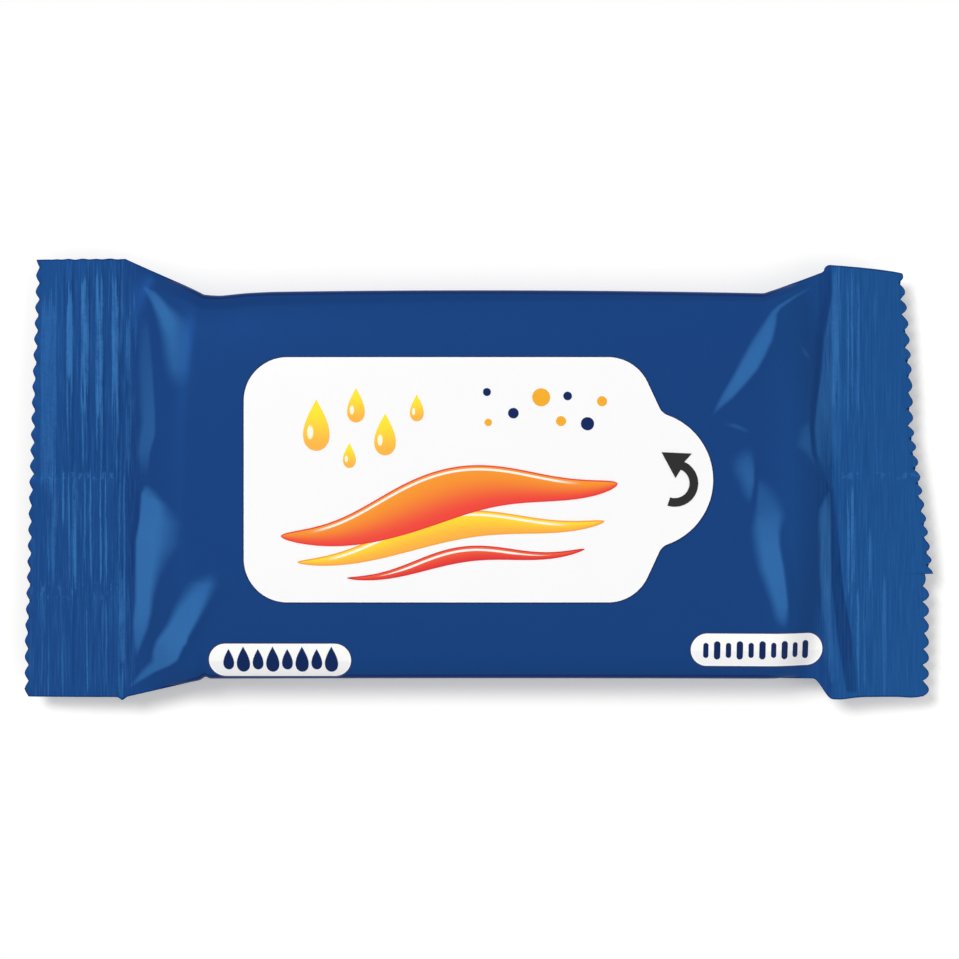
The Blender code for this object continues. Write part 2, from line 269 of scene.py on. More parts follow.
def lowerEdge(x):
    # and on its -Y side, with a nub by the left seal and a nick where its shoulder ends
    inside = insideOf(x)
    body = pouch["lowerBody"] + pouch["lowerBulge"] * middleShare(x)
    straight = clamp(inside / pouch["shoulder"]["leftBack"])
    curved = smooth(inside / pouch["shoulder"]["rightBack"])
    return -mix(pouch["flatWidth"] / 2, body, bySide(x, straight, curved)) - bumps(x, pouch["lowerBumps"])


def halfWidth(x, y):
    return np.where(y > bodyMiddle, upperEdge(x) - bodyMiddle, bodyMiddle - lowerEdge(x))


def opening(x):
    return smooth(insideOf(x) / (bySide(x, *pouch["rise"]) + pouch["riseExtra"]))


def risen(x, y):
    across = np.abs(y - bodyMiddle) / halfWidth(x, y)
    reach = bySide(x, *pouch["rise"]) + pouch["riseExtra"] * across**2
    return np.sin(np.pi / 2 * clamp(insideOf(x) / reach))


def section(x, y, flatShare):
    opened = opening(x)
    reach = halfWidth(x, y) * mix(mix(pouch["coreShare"], pouch["openShare"], opened), 1.0, opened)
    share = clamp(np.abs(y - bodyMiddle) / reach)
    share = clamp((share - flatShare * opened) / (1 - flatShare * opened))
    power = mix(2.0, pouch["edgeFullness"], opened)
    root = mix(pouch["sealRoot"], pouch["edgeFullness"], opened ** pouch["rootEase"])
    return (1 - share**power) ** (1 / root)


def sealMiddle(x, y):
    # height of the line between the two films
    outward = clamp(-insideOf(x) / pouch["sealDepth"])
    wave = np.sin(y / pouch["waveLength"] + bySide(x, *pouch["wavePhases"]))
    return pouch["sealHeight"] + (pouch["sealWave"] * wave - pouch["sealDroop"]) * outward**2


# Folds of the front film: a low relief, with a painted highlight on the slope between crest and foot,
# or painted shade where the shine is below 0. Crest points: X, Y, height, width of the shaded slope behind,
# shine, blur of the shine's edge. Foot points: X, Y, blur. Folds of one layer don't touch each other. The
# painted highlight lies on the crest's left hand where "lit" is 1, and on its right hand where it is -1.

folds = {
    "upperLeftBlade": {"layer": "blade", "lit": -1, "crest": [
        (-51.1, 29.2, 0, 1, 0.3, 0.3), (-49.7, 28.5, 0.1, 1.4, 0.72, 0.35),
        (-48.5, 27.3, 0.14, 2, 0.9, 0.5), (-47.4, 26, 0.15, 2.2, 0.97, 0.7),
        (-46.3, 24.9, 0.12, 2.6, 0.95, 1.1), (-45.4, 23.6, 0.07, 3, 0.88, 1.5),
        (-45, 21.6, 0.04, 3, 0.78, 1.8), (-44.8, 19.2, 0.02, 3, 0.7, 1.9),
        (-44.8, 16.6, 0.01, 3, 0.58, 1.8), (-45.1, 13.4, 0, 3, 0, 1.8)], "foot": [
        (-51.3, 28.9, 0.3), (-50.1, 26.9, 0.4), (-48.8, 24.2, 0.8), (-48, 21.7, 1), (-47.5, 19, 1.2),
        (-47, 16.4, 1.2), (-46.3, 13.4, 1.1)]},
    "lowerLeftBlade": {"layer": "blade", "lit": -1, "crest": [
        (-40.4, -14.2, 0, 2, 0, 1.6), (-40.1, -16.2, 0.2, 2.2, 0.522, 1.2),
        (-41.2, -18.7, 0.325, 2.2, 0.76, 0.7), (-42.5, -21.3, 0.4, 2, 0.902, 0.45),
        (-44.1, -24.1, 0.425, 1.8, 0.997, 0.35), (-44.4, -25.1, 0.425, 1.8, 0.997, 0.3),
        (-44.9, -25.6, 0.4, 1.7, 0.997, 0.3), (-45.9, -27.7, 0.35, 1.5, 0.95, 0.3),
        (-47.2, -28.6, 0.3, 1.2, 0.855, 0.3), (-49.7, -29.7, 0.225, 1, 0.807, 0.3),
        (-51.8, -31, 0.15, 0.8, 0.617, 0.3), (-53.6, -32.1, 0, 0.6, 0.285, 0.3)], "foot": [
        (-41.8, -14.2, 1.4), (-42.7, -15.2, 1.4), (-44.2, -17.3, 1.2), (-45.6, -19.3, 0.9),
        (-47.3, -22.4, 0.6), (-49.3, -25, 0.45), (-49.8, -26.3, 0.4), (-50, -28.1, 0.6),
        (-51.5, -29.5, 0.5), (-53.1, -31.3, 0.3), (-53.7, -32, 0.3)]},
    "upperRightBlade": {"layer": "blade", "lit": -1, "crest": [
        (50.3, 28.8, 0, 0.6, 0.34, 0.2), (47.8, 27.2, 0.09, 0.8, 0.595, 0.2),
        (45.8, 25.8, 0.135, 1, 0.637, 0.2), (45.2, 24.9, 0.18, 1.4, 0.637, 0.25),
        (45, 23.2, 0.225, 1.6, 0.68, 0.3), (44.4, 20.9, 0.248, 1.8, 0.722, 0.35),
        (43.3, 18.6, 0.248, 1.8, 0.765, 0.35), (42.1, 16.4, 0.225, 1.8, 0.807, 0.35),
        (40.3, 14.3, 0.18, 1.6, 0.807, 0.35), (38.5, 12.3, 0.135, 1.4, 0.765, 0.35),
        (36.7, 10.8, 0.068, 1.2, 0.595, 0.35), (35.4, 9.5, 0, 1, 0.085, 0.4)], "foot": [
        (50.1, 28.9, 0.2), (47.6, 27.5, 0.2), (45.5, 26.2, 0.2), (44.6, 25.4, 0.3), (43.3, 23.5, 0.4),
        (41.6, 20.9, 0.5), (40, 18.1, 0.45), (38.5, 15.3, 0.4), (37, 12.8, 0.35), (35.8, 10.6, 0.3),
        (35.2, 9.5, 0.3)]},
    "lowerRightBlade": {"layer": "blade", "lit": -1, "crest": [
        (42.9, -0.5, 0, 0.8, 0.245, 0.8), (43.5, -1.4, 0.12, 1.2, 0.392, 1.4),
        (45.1, -3.7, 0.21, 1.8, 0.49, 1.4), (45.9, -5.6, 0.27, 2, 0.588, 0.9),
        (45.4, -8.3, 0.33, 2, 0.784, 0.5), (45.5, -10.5, 0.36, 2, 0.882, 0.35),
        (46, -13.2, 0.36, 2, 0.931, 0.3), (46.5, -16.7, 0.33, 1.8, 0.882, 0.3),
        (46.8, -19.4, 0.24, 1.6, 0.833, 0.35), (46.7, -21.2, 0.12, 1.4, 0.637, 0.6),
        (46.5, -23, 0, 1.2, 0, 0.8)], "foot": [
        (42.3, -0.5, 0.3), (42.1, -3.7, 0.4), (41.7, -7.8, 1), (42.1, -10.5, 1.1), (42.7, -13.7, 1),
        (43.8, -16.7, 0.9), (44.6, -19.1, 0.8), (45.1, -21.3, 0.8), (46, -23, 0.6)]},
    "lowerLeftLens": {"layer": "gather", "lit": 1, "crest": [
        (-50.7, -1, 0, 0.8, 0.3, 0.5), (-51.5, -2.4, 0.35, 1.2, 0.85, 0.35),
        (-51.8, -6.4, 0.6, 1.4, 0.95, 0.3), (-52.4, -9.5, 0.75, 1.5, 1.05, 0.35),
        (-52.5, -14.1, 0.75, 1.5, 1.05, 0.4), (-52.6, -19.2, 0.65, 1.4, 1, 0.4),
        (-52.9, -21.8, 0.5, 1.2, 0.9, 0.4), (-52.9, -25.6, 0.3, 1, 0.65, 0.4),
        (-52.7, -27.8, 0, 0.8, 0.1, 0.4)], "foot": [
        (-50.5, -1.2, 0.5), (-49.3, -2.1, 0.6), (-47.9, -4.1, 1), (-46.8, -7.1, 2.6), (-47.2, -9.7, 3),
        (-48.2, -11.9, 2), (-49.1, -14.5, 1.2), (-49.9, -18.1, 0.7), (-50.2, -20.7, 0.5),
        (-50.8, -23, 0.5), (-51.8, -25.3, 0.4), (-52.5, -27.4, 0.3)]},
    "middleRightFold": {"layer": "gather", "lit": -1, "crest": [
        (40.6, 4.9, 0, 1.2, 0, 1.4), (41.3, 3.3, 0.2, 1.4, 0.35, 0.8), (41.6, 1.4, 0.3, 1.4, 0.55, 0.3),
        (41.6, -0.7, 0.3, 1.3, 0.55, 0.25), (41.3, -2.6, 0.15, 1.2, 0.4, 0.3),
        (40.9, -4, 0, 1, 0, 0.5)], "foot": [
        (38.9, 4.9, 1.2), (38.8, 3.5, 1.3), (38.9, 1.4, 1.3), (39.8, -0.7, 1.1), (40.4, -3.2, 0.8),
        (40.7, -4, 0.6)]},
    "leftGather": {"layer": "gather", "lit": -1, "crest": [
        (-50.9, 25, 0, 1, 0, 0.8), (-50.5, 22.6, 0.1, 1.2, 0.22, 0.5),
        (-49.8, 16.2, 0.18, 1.5, 0.38, 0.3), (-49.3, 9.9, 0.22, 1.6, 0.5, 0.3),
        (-49.3, 6.5, 0.22, 1.6, 0.55, 0.3), (-50.1, 4, 0.15, 1.2, 0.5, 0.3),
        (-50.5, 0.6, 0, 1, 0.05, 0.4)], "foot": [
        (-51.6, 25, 0.8), (-51.9, 18.8, 0.9), (-51.8, 15, 0.9), (-51.6, 11.7, 0.9), (-51.4, 8.6, 0.7),
        (-52.1, 4, 0.5), (-51.8, 0.8, 0.4)]},
    "rightInnerPocket": {"layer": "gather", "lit": -1, "crest": [
        (50.4, 9, 0, 0.8, 0, 0.3), (50.4, 7.7, 0.15, 0.9, 0.3, 0.25), (50.6, 5.2, 0.2, 0.9, 0.38, 0.2),
        (51.1, 3.4, 0.15, 0.9, 0.3, 0.2), (52.3, 0.9, 0, 0.8, 0.1, 0.2)], "foot": [
        (49.9, 8.6, 0.8), (49, 7.2, 0.9), (48.5, 5, 0.9), (49.8, 3.9, 0.6), (51.9, 0.8, 0.3)]},
    # a shallow real valley, darkened along it by painted shade
    "rightInnerCrease": {"layer": "blade", "lit": -1, "crest": [
        (54.1, 31.4, 0, 0.8, -0.4, 0.3), (54, 27.3, -0.06, 0.8, -0.55, 0.35),
        (52.75, 21.2, -0.08, 0.8, -0.55, 0.4), (52.1, 15.4, -0.08, 0.8, -0.45, 0.4),
        (51.4, 11.2, -0.08, 0.8, -0.45, 0.35), (51, 7.6, -0.08, 0.8, -0.5, 0.3),
        (51.3, 3.9, -0.08, 0.8, -0.45, 0.3), (52, 2, -0.05, 0.8, -0.35, 0.3),
        (52.9, 0.6, 0, 0.8, -0.2, 0.3)], "foot": [
        (52.6, 31.2, 0.9), (52.6, 27.3, 0.8), (51.65, 21.2, 0.6), (51.2, 15.4, 0.5), (50.6, 11.1, 0.45),
        (50.4, 7.6, 0.4), (50.7, 3.7, 0.4), (51.5, 1.6, 0.3), (52.6, 0.3, 0.3)]},
    "rightInnerPanel": {"layer": "gather", "lit": 1, "crest": [
        (54.4, 31, 0, 0.6, 0.2, 0.4), (54.1, 27, 0.03, 0.6, 0.35, 0.4),
        (52.95, 21.2, 0.05, 0.6, 0.46, 0.4), (52.3, 15.5, 0.06, 0.6, 0.48, 0.3),
        (51.6, 11.4, 0.06, 0.6, 0.52, 0.25), (51.3, 7.6, 0.06, 0.6, 0.48, 0.25),
        (51.6, 3.9, 0.05, 0.6, 0.4, 0.3), (52.6, 1.8, 0, 0.6, 0.2, 0.3)], "foot": [
        (55.4, 31, 0.4), (55.3, 27, 0.5), (55.1, 21.2, 0.6), (55, 15.5, 0.8), (55, 11.4, 1),
        (55.1, 7.6, 1.4), (55.3, 3.9, 1.6), (54.6, 1.8, 1)]},
    "upperTick": {"layer": "blade", "lit": -1, "crest": [
        (49.4, 20, 0, 0.3, 0.1, 0.3), (50, 19.1, 0.03, 0.3, 0.4, 0.25),
        (50.6, 18.4, 0, 0.3, 0.1, 0.3)], "foot": [
        (49, 19.8, 0.25), (49.6, 18.8, 0.25), (50.3, 18.2, 0.25)]},
    "middleTick": {"layer": "gather", "lit": -1, "crest": [
        (37.6, 8.3, 0, 0.3, 0.1, 0.3), (38.9, 8.1, 0.03, 0.3, 0.4, 0.25),
        (40.4, 7.5, 0, 0.3, 0.2, 0.3)], "foot": [
        (37.6, 7.9, 0.25), (38.8, 7.6, 0.25), (40.2, 7, 0.25)]},
    "rightLightBand": {"layer": "blade", "lit": -1, "crest": [
        (53.8, -2.2, 0, 0.4, 0.35, 0.2), (53.9, -4.6, 0.04, 0.4, 0.75, 0.2),
        (54, -6.5, 0.06, 0.4, 0.92, 0.15), (54.05, -16.7, 0.08, 0.4, 0.85, 0.15),
        (54.3, -24.9, 0.05, 0.4, 0.5, 0.2), (54.5, -31, 0, 0.4, 0.3, 0.3)], "foot": [
        (53.5, -2.2, 0.2), (52.1, -4.6, 0.4), (51.95, -6.5, 0.5), (52.2, -12.6, 0.6), (52.6, -18.7, 0.6),
        (53.3, -24.9, 0.5), (53.9, -31, 0.4)]},
    # painted shade in a wedge beside the right seal's light band
    "rightPaintedShadeWedge": {"layer": "gather", "lit": -1, "crest": [
        (54.65, -1.8, 0, 0.5, -0.4, 0.12), (55.25, -9.5, -0.06, 0.5, -0.7, 0.12),
        (55.9, -16.7, -0.08, 0.5, -0.75, 0.12), (57.4, -24.9, -0.08, 0.6, -0.7, 0.2),
        (58, -32.5, 0, 0.6, -0.6, 0.3)], "foot": [
        (54.1, -1.8, 0.12), (54.2, -9.5, 0.12), (54.2, -16.7, 0.12), (55.1, -24.9, 0.25),
        (56.3, -31.8, 0.3)]},
}
foldRule = {
    "fade": 3.0,              # folds flatten out over this length towards a seal, to this share
    "sealShare": 0.35,
    "sideShare": 0.25,        # share of their height that is left at the pouch's sides
    "sag": 0.3,               # how much the slopes sag below a plain wave
    "shineReach": (1.0, 2.5), # the shine holds up to this distance from a fold, and is gone at this one
    "endFade": 0.7,
    "blurs": 4.0,             # distances are kept within so many blurs
}


def nearestOnPath(x, y, points):
    # signed distance to a line of points, positive on its left hand, how far past its ends a place lies,
    # and the points' other values at the nearest place
    path = np.array(points)
    away = np.full(x.shape, np.inf)
    side = np.ones(x.shape)
    past = np.zeros(x.shape)
    values = [np.zeros(x.shape) for _ in path[0][2:]]
    for i, (start, end) in enumerate(zip(path, path[1:])):
        along = end[:2] - start[:2]
        length = math.hypot(*along)
        offX, offY = x - start[0], y - start[1]
        reached = (offX * along[0] + offY * along[1]) / length**2
        share = clamp(reached)
        gap = np.hypot(offX - along[0] * share, offY - along[1] * share)
        closer = gap < away
        away = np.where(closer, gap, away)
        side = np.where(closer, np.where(along[0] * offY - along[1] * offX > 0, 1.0, -1.0), side)
        before = np.maximum(-reached, 0) if i == 0 else 0
        after = np.maximum(reached - 1, 0) if i == len(path) - 2 else 0
        past = np.where(closer, (before + after) * length, past)
        values = [np.where(closer, mix(a, b, share), old) for a, b, old in zip(start[2:], end[2:], values)]
    return away * side, past, values


def foldField(x, y):
    # height that the folds add, and for each layer their painted highlight, which is painted shade where it
    # is below 0: signed distances from crest and foot in blurs, and the strength
    blurs = foldRule["blurs"]
    far = np.full(x.shape, -blurs)
    layers = {name: [far, far, np.zeros(x.shape)] for name in ("blade", "gather")}
    nearest = dict.fromkeys(layers, np.full(x.shape, np.inf))
    height = np.zeros(x.shape)
    for fold in folds.values():
        fromCrest, past, (crest, steepWidth, shine, crestBlur) = nearestOnPath(x, y, fold["crest"])
        fromFoot, _, (footBlur,) = nearestOnPath(x, y, fold["foot"])
        fromCrest, fromFoot = fromCrest * fold["lit"], -fromFoot * fold["lit"]
        lit = (fromCrest > 0) & (fromFoot > 0)
        shaded = clamp(-fromCrest / steepWidth)
        share = np.where(lit, fromCrest / np.maximum(fromCrest + fromFoot, 1e-6), shaded)
        share = np.where((fromCrest > 0) & ~lit, 1.0, share)
        height += crest * (0.5 + 0.5 * np.cos(np.pi * share)) * mix(1.0, 1 - share, foldRule["sag"])
        away = np.maximum(np.maximum(-fromCrest, -fromFoot), past)
        ended = eased(past, 0.0, foldRule["endFade"])
        shine = shine * (1 - eased(away, *foldRule["shineReach"])) * (1 - ended)
        fromEdges = ((fromCrest, crestBlur), (fromFoot, footBlur))
        new = [np.clip(gap / blur, -blurs, blurs) for gap, blur in fromEdges] + [shine]
        layer = fold["layer"]
        closer = away < nearest[layer]
        layers[layer] = [np.where(closer, a, b) for a, b in zip(new, layers[layer])]
        nearest[layer] = np.where(closer, away, nearest[layer])
    return height, layers


def frontHeight(x, y):
    # height of the outer film's front, without ribs
    inside, drape = insideOf(x), section(x, y, 0.0)
    crown = pouch["thickness"] - pouch["crownFall"] * (1 - middleShare(x))
    raised = (crown - pouch["sealHeight"] - pouch["filmBreadth"] / 2) * risen(x, y) * drape
    fade = mix(foldRule["sealShare"], 1.0, smooth(inside / foldRule["fade"]))
    folded = foldField(x, y)[0] * fade * np.maximum(drape, foldRule["sideShare"])
    ease = finSeal["showEase"]
    overFin = smooth((finSeal["root"] - y) / ease) * smooth((y - finEdge + 0.3) / ease)
    shown = finSeal["showThrough"] * overFin * smooth(-inside / 1.5)
    return sealMiddle(x, y) + pouch["filmBreadth"] / 2 + raised + folded + shown


def backHeight(x, y):
    opened, half = risen(x, y), pouch["filmBreadth"] / 2
    lowered = (pouch["sealHeight"] - half) * opened * section(x, y, pouch["backFlatShare"])
    pastFin = np.maximum(np.maximum(y - finSeal["root"], finEdge - y), 0.0)
    room = finSeal["room"] * opened * (1 - smooth(pastFin / finSeal["relief"]))
    return sealMiddle(x, y) - half - lowered + room


def leftCut(y):
    foot = pouch["leftCutFoot"]
    return pouch["length"] / 2 - pouch["leftCutLean"] * clamp((y - foot) / (pouch["flatWidth"] / 2 - foot))


def rightCut(y):
    share, turn = (y - stepY) / (pouch["flatWidth"] / 2 - stepY), pouch["rightLeanShare"]
    lean = pouch["rightCutLean"] * clamp(share / turn)
    curl = pouch["rightCornerCurl"] * clamp((share - turn) / (1 - turn)) ** 2
    return pouch["length"] / 2 - np.where(y < stepY + 0.01, pouch["rightCutStep"], lean + curl)


def fitToCut(x, y):
    # a station outside the seal's inner line bends to follow the leaning cut
    outward = np.maximum(-insideOf(x), 0.0)
    reach = bySide(x, leftCut(y), rightCut(y))
    return np.sign(x) * (np.abs(x) - (pouch["length"] / 2 - reach) * (outward / pouch["sealDepth"]) ** 2)


# Stations along the pack and places across it

spacing = {
    "seal": 0.215, "shoulder": 0.33, "body": 3.7,    # greatest gap between stations
    "leftReach": 15.0, "rightReach": 19.5,           # the shoulders' stations run this far in
    "lip": (0.0, 0.03, 0.1, 0.22, 0.38, 0.58, 0.8, 1.05),
}
# Mesh places across the pack: eight to a tooth, and the right cut steps back at one of them. The notches of
# the right cut's uneven teeth lie at these shares of the way from the step to the upper corner.
teeth = {
    "count": 28, "places": 8, "stepPlace": 62, "stepWidth": 0.06,
    "leftRoundness": 0.55,    # 0 is a pointed tooth, 1 a round one
    "rightFullness": 0.82,    # the lower, the fuller are the lobes
    "notches": (-0.02, 0.030, 0.072, 0.121, 0.166, 0.212, 0.259, 0.303, 0.352, 0.403, 0.451,
                0.497, 0.550, 0.602, 0.660, 0.710, 0.756, 0.810, 0.865, 0.917, 0.969, 1.02),
}


def steps(start, end, gap):
    return list(np.linspace(start, end, max(2, round(abs(end - start) / gap) + 1)))[:-1]


def stationsAlong():
    left, right = -sealX + spacing["leftReach"], sealX - spacing["rightReach"]
    half, lip = pouch["length"] / 2, sealX - pouch["rightLip"]
    return np.array(
        steps(-half, -sealX, spacing["seal"]) + steps(-sealX, left, spacing["shoulder"])
        + steps(left, right, spacing["body"]) + steps(right, lip, spacing["shoulder"])
        + [lip + past for past in spacing["lip"]] + steps(sealX, half, spacing["seal"]) + [half]
    )


def acrossPack(x):
    # Y of each place across the pack: eight to a tooth in the seals, closer at the sides over the wipes
    places, step = teeth["count"] * teeth["places"], teeth["stepPlace"]
    index = np.arange(places + 1)
    low, high = lowerEdge(x)[:, None], upperEdge(x)[:, None]
    above = mix(stepY, high, (index - step) / (places - step))
    stepped = np.where(index <= step, mix(low, stepY, index / step), above)
    stepped[:, step + 1] = stepY + teeth["stepWidth"]
    flat = bySide(x[:, None], mix(low, high, index / places), stepped)
    share = (index - places / 2) / (places / 2)
    packed = 1 - (1 - np.abs(share)) ** 2
    full = bodyMiddle + np.where(share < 0, low - bodyMiddle, high - bodyMiddle) * packed
    return mix(flat, full, opening(x)[:, None])


def toothLobe(x, y):
    # 0 in a notch and 1 at a tooth's tip; the left teeth are nearly pointed, the right ones are lobes
    low, high = lowerEdge(x), upperEdge(x)
    left = (y - low) / (high - low) * (teeth["count"] - 0.5) % 1.0
    leftLobe = mix(1 - np.abs(2 * left - 1), np.sin(np.pi * left), teeth["leftRoundness"])
    belowStep = y < stepY + 0.01
    below = (y - low) / (stepY - low) * teeth["stepPlace"] / teeth["places"]
    above = np.interp((y - stepY) / (high - stepY), teeth["notches"], np.arange(len(teeth["notches"])))
    part = np.where(belowStep, below, above)
    lobe = np.sin(np.pi * clamp(part % 1.0) ** teeth["rightFullness"])
    # the lobe below the step is half cut away, and the one above it starts at its tip
    lobe = np.where(belowStep & (part > 7.0), 0.5 * lobe, lobe)
    lobe = np.where((y > stepY + 0.01) & (part < 1.0), 1 - clamp((part - 0.5) / 0.5) ** 1.3, lobe)
    uneven = 0.92 + 0.1 * np.sin(y / 3.1) + 0.08 * np.sin(y * 1.9)
    return 1 - (1 - bySide(x, leftLobe, lobe)) * uneven


# Meshes

def floatAttribute(mesh, name, values):
    made = mesh.attributes.new(name, "FLOAT", "POINT")
    made.data.foreach_set("value", np.asarray(values, dtype=np.float32).ravel())


def newPiece(name, data):
    piece = bpy.data.objects.new(name, data)
    bpy.context.scene.collection.objects.link(piece)
    return piece


def turnOutwards(mesh, sheet=False):
    # all faces of a closed mesh point outwards; an open sheet's points are merged first, and it faces up
    bm = bmesh.new()
    bm.from_mesh(mesh)
    if sheet:
        bmesh.ops.remove_doubles(bm, verts=bm.verts, dist=1e-7)
    bmesh.ops.recalc_face_normals(bm, faces=bm.faces)
    if sheet and sum(face.normal.z for face in bm.faces) < 0:
        bmesh.ops.reverse_faces(bm, faces=bm.faces)
    bm.to_mesh(mesh)
    bm.free()
    return mesh


def closedLoft(name, front, back, backPlaces):
    # a closed body between a front and a back sheet, both rows of points; backPlaces says which of the
    # front's places the back has too, and there both have the same X and Y
    rows, frontCount = front.shape[:2]
    points = np.concatenate([front, back[:, ::-1]], axis=1).reshape(-1, 3)
    ring = frontCount + back.shape[1]
    start = np.arange(rows - 1)[:, None] * ring
    a, b = start + np.arange(ring), start + (np.arange(ring) + 1) % ring
    sides = np.stack([a, a + ring, b + ring, b], axis=-1)
    faces = sides.reshape(-1, 4).tolist()
    last = (rows - 1) * ring
    for j, (low, high) in enumerate(zip(backPlaces, backPlaces[1:])):
        end = list(range(low, high + 1)) + [ring - 2 - j, ring - 1 - j]
        faces.append(end)
        faces.append([last + i for i in reversed(end)])
    mesh = bpy.data.meshes.new(name)
    mesh.from_pydata((points * mm).tolist(), [], faces)
    return turnOutwards(mesh)


def applyStack(piece, sharpAngle=None):
    # the evaluated result, modifiers and all, becomes the piece's own plain mesh
    graph = bpy.context.evaluated_depsgraph_get()
    evaluated = piece.evaluated_get(graph)
    made = bpy.data.meshes.new_from_object(evaluated, preserve_all_data_layers=True, depsgraph=graph)
    piece.modifiers.clear()
    old = piece.data
    piece.data = made
    made.name = piece.name
    bpy.data.meshes.remove(old)
    if sharpAngle:
        made.shade_smooth()
        made.set_sharp_from_angle(angle=math.radians(sharpAngle))
    return piece


def addTree(piece, tree, **values):
    modifier = piece.modifiers.new(tree.name, "NODES")
    modifier.node_group = tree
    for item in tree.interface.items_tree:
        if item.item_type == "SOCKET" and item.in_out == "INPUT" and item.name in values:
            modifier[item.identifier] = values[item.name]


# Node trees

crimp = {
    "ribStart": 0.42,
    "ribPitch": 2.37,
    "ribCount": 4.0,
    "ribHeight": 0.24,
    "ribCrest": 0.85,
    "ribFlank": 0.36,
    "leftTooth": 0.68,
    "rightTooth": 0.98,
}
finRidge = {"ridgePitch": 0.9, "ridgeHeight": 0.035}


def groupTree(name, kind, inputs, output):
    # an empty node group with sockets of the given kinds; returned with what it is given and its end
    tree = bpy.data.node_groups.new(name, kind)
    for way, sockets in (("INPUT", inputs), ("OUTPUT", output)):
        for label, socketKind in sockets.items():
            tree.interface.new_socket(label, in_out=way, socket_type="NodeSocket" + socketKind)
    return tree, tree.nodes.new("NodeGroupInput").outputs, tree.nodes.new("NodeGroupOutput")


def geometryTree(name, numbers, **others):
    shape = {"geometry": "Geometry"}
    inputs = shape | dict.fromkeys(numbers, "Float") | others | {"material": "Material"}
    return groupTree(name, "GeometryNodeTree", inputs, shape)


def endTree(tree, given, sink, geometry):
    whole = addNode(tree, "GeometryNodeRealizeInstances", {0: geometry}).outputs[0]
    dressed = addNode(tree, "GeometryNodeSetMaterial", {"Geometry": whole, "Material": given["material"]})
    feed(tree, sink, {0: dressed.outputs[0]})
    return tree


def named(tree, name):
    return addNode(tree, "GeometryNodeInputNamedAttribute", {"Name": name}, data_type="FLOAT").outputs[0]


def pointPlace(tree):
    return axesOf(tree, tree.nodes.new("GeometryNodeInputPosition").outputs[0])


def movePoints(tree, geometry, **move):
    # the move is an Offset or a new Position
    return addNode(tree, "GeometryNodeSetPosition", {"Geometry": geometry} | move).outputs[0]


def otherGeometry(tree, piece):
    node = addNode(tree, "GeometryNodeObjectInfo", {"Object": piece}, transform_space="RELATIVE")
    return node.outputs["Geometry"]


def buildCrimpTree():
    # presses the ribs into both seals and cuts their teeth
    tree, given, sink = geometryTree("crimpAndCut", crimp)
    into = minus(tree, named(tree, "outward"), given["ribStart"])
    whole = times(tree, given["ribPitch"], given["ribCount"])
    inBand = times(tree, maths(tree, "GREATER_THAN", into, 0.0), maths(tree, "LESS_THAN", into, whole))
    phase = maths(tree, "FLOORED_MODULO", into, given["ribPitch"])
    fromMiddle = maths(tree, "ABSOLUTE", minus(tree, phase, times(tree, given["ribPitch"], 0.5)))
    fromCrest = minus(tree, fromMiddle, times(tree, given["ribCrest"], 0.5))
    slope = minus(tree, 1.0, maths(tree, "DIVIDE", fromCrest, given["ribFlank"]))
    strength = times(tree, inBand, named(tree, "ribStrength"), given["ribHeight"], mm)
    lift = times(tree, ramp(tree, slope, 0.0, 1.0), strength)
    x = pointPlace(tree)[0]
    depth = choose(tree, maths(tree, "GREATER_THAN", x, 0.0), given["leftTooth"], given["rightTooth"])
    notch = times(tree, minus(tree, 1.0, named(tree, "toothLobe")), depth, named(tree, "cutWeight"))
    inwards = times(tree, notch, maths(tree, "SIGN", x), -mm)
    moved = movePoints(tree, given["geometry"], Offset=vector(tree, inwards, 0.0, lift))
    return endTree(tree, given, sink, moved)


def buildFinTree():
    # fine ridges across the fin, where the sealing wheels gripped it
    tree, given, sink = geometryTree("finRidges", finRidge)
    turns = maths(tree, "DIVIDE", pointPlace(tree)[0], times(tree, given["ridgePitch"], mm))
    wave = maths(tree, "SINE", times(tree, turns, 2 * math.pi))
    lift = times(tree, wave, named(tree, "ridgeShare"), given["ridgeHeight"], mm)
    return endTree(tree, given, sink, movePoints(tree, given["geometry"], Offset=vector(tree, z=lift)))


def buildPrintTree():
    # lays flat artwork on the surface under it, a given lift above it
    tree, given, sink = geometryTree("layPrint", ("lift",), surface="Object")
    x, y, _ = pointPlace(tree)
    cast = addNode(tree, "GeometryNodeRaycast", {
        "Target Geometry": otherGeometry(tree, given["surface"]),
        "Source Position": vector(tree, x, y, 0.05), "Ray Direction": (0.0, 0.0, -1.0), "Ray Length": 0.1})
    lift = vector(tree, z=times(tree, given["lift"], mm))
    lifted = vectorMaths(tree, "ADD", cast.outputs["Hit Position"], lift)
    whole = addNode(tree, "GeometryNodeRealizeInstances", {0: given["geometry"]}).outputs[0]
    return endTree(tree, given, sink, movePoints(tree, whole, Position=lifted))


def buildScatterTree():
    # sets a motif on every point of a mesh, with the point's own size
    tree, given, sink = geometryTree("setMotifs", (), motif="Object")
    points = addNode(tree, "GeometryNodeMeshToPoints", {"Mesh": given["geometry"]}).outputs[0]
    motif = otherGeometry(tree, given["motif"])
    placed = addNode(tree, "GeometryNodeInstanceOnPoints", {
        "Points": points, "Instance": motif, "Scale": named(tree, "motifSize")})
    return endTree(tree, given, sink, placed.outputs[0])


def buildToneGroup(name, sizes, noiseOf):
    # a noise as one tone from -1 to 1, for several materials; noiseOf gives its inputs
    tree, given, sink = groupTree(name, "ShaderNodeTree", dict.fromkeys(sizes, "Float"), {"tone": "Float"})
    noise = addNode(tree, "ShaderNodeTexNoise", noiseOf(tree, given)).outputs[0]
    feed(tree, sink, {0: times(tree, minus(tree, noise, 0.5), 2.0)})
    return tree


def speckle(tree, given):
    # the fine, even speckle of printed film; size in mm
    scale = maths(tree, "DIVIDE", 1000.0, given["size"])
    return {"Vector": objectPlace(tree), "Scale": scale, "Detail": 2.0, "Roughness": given["roughen"]}


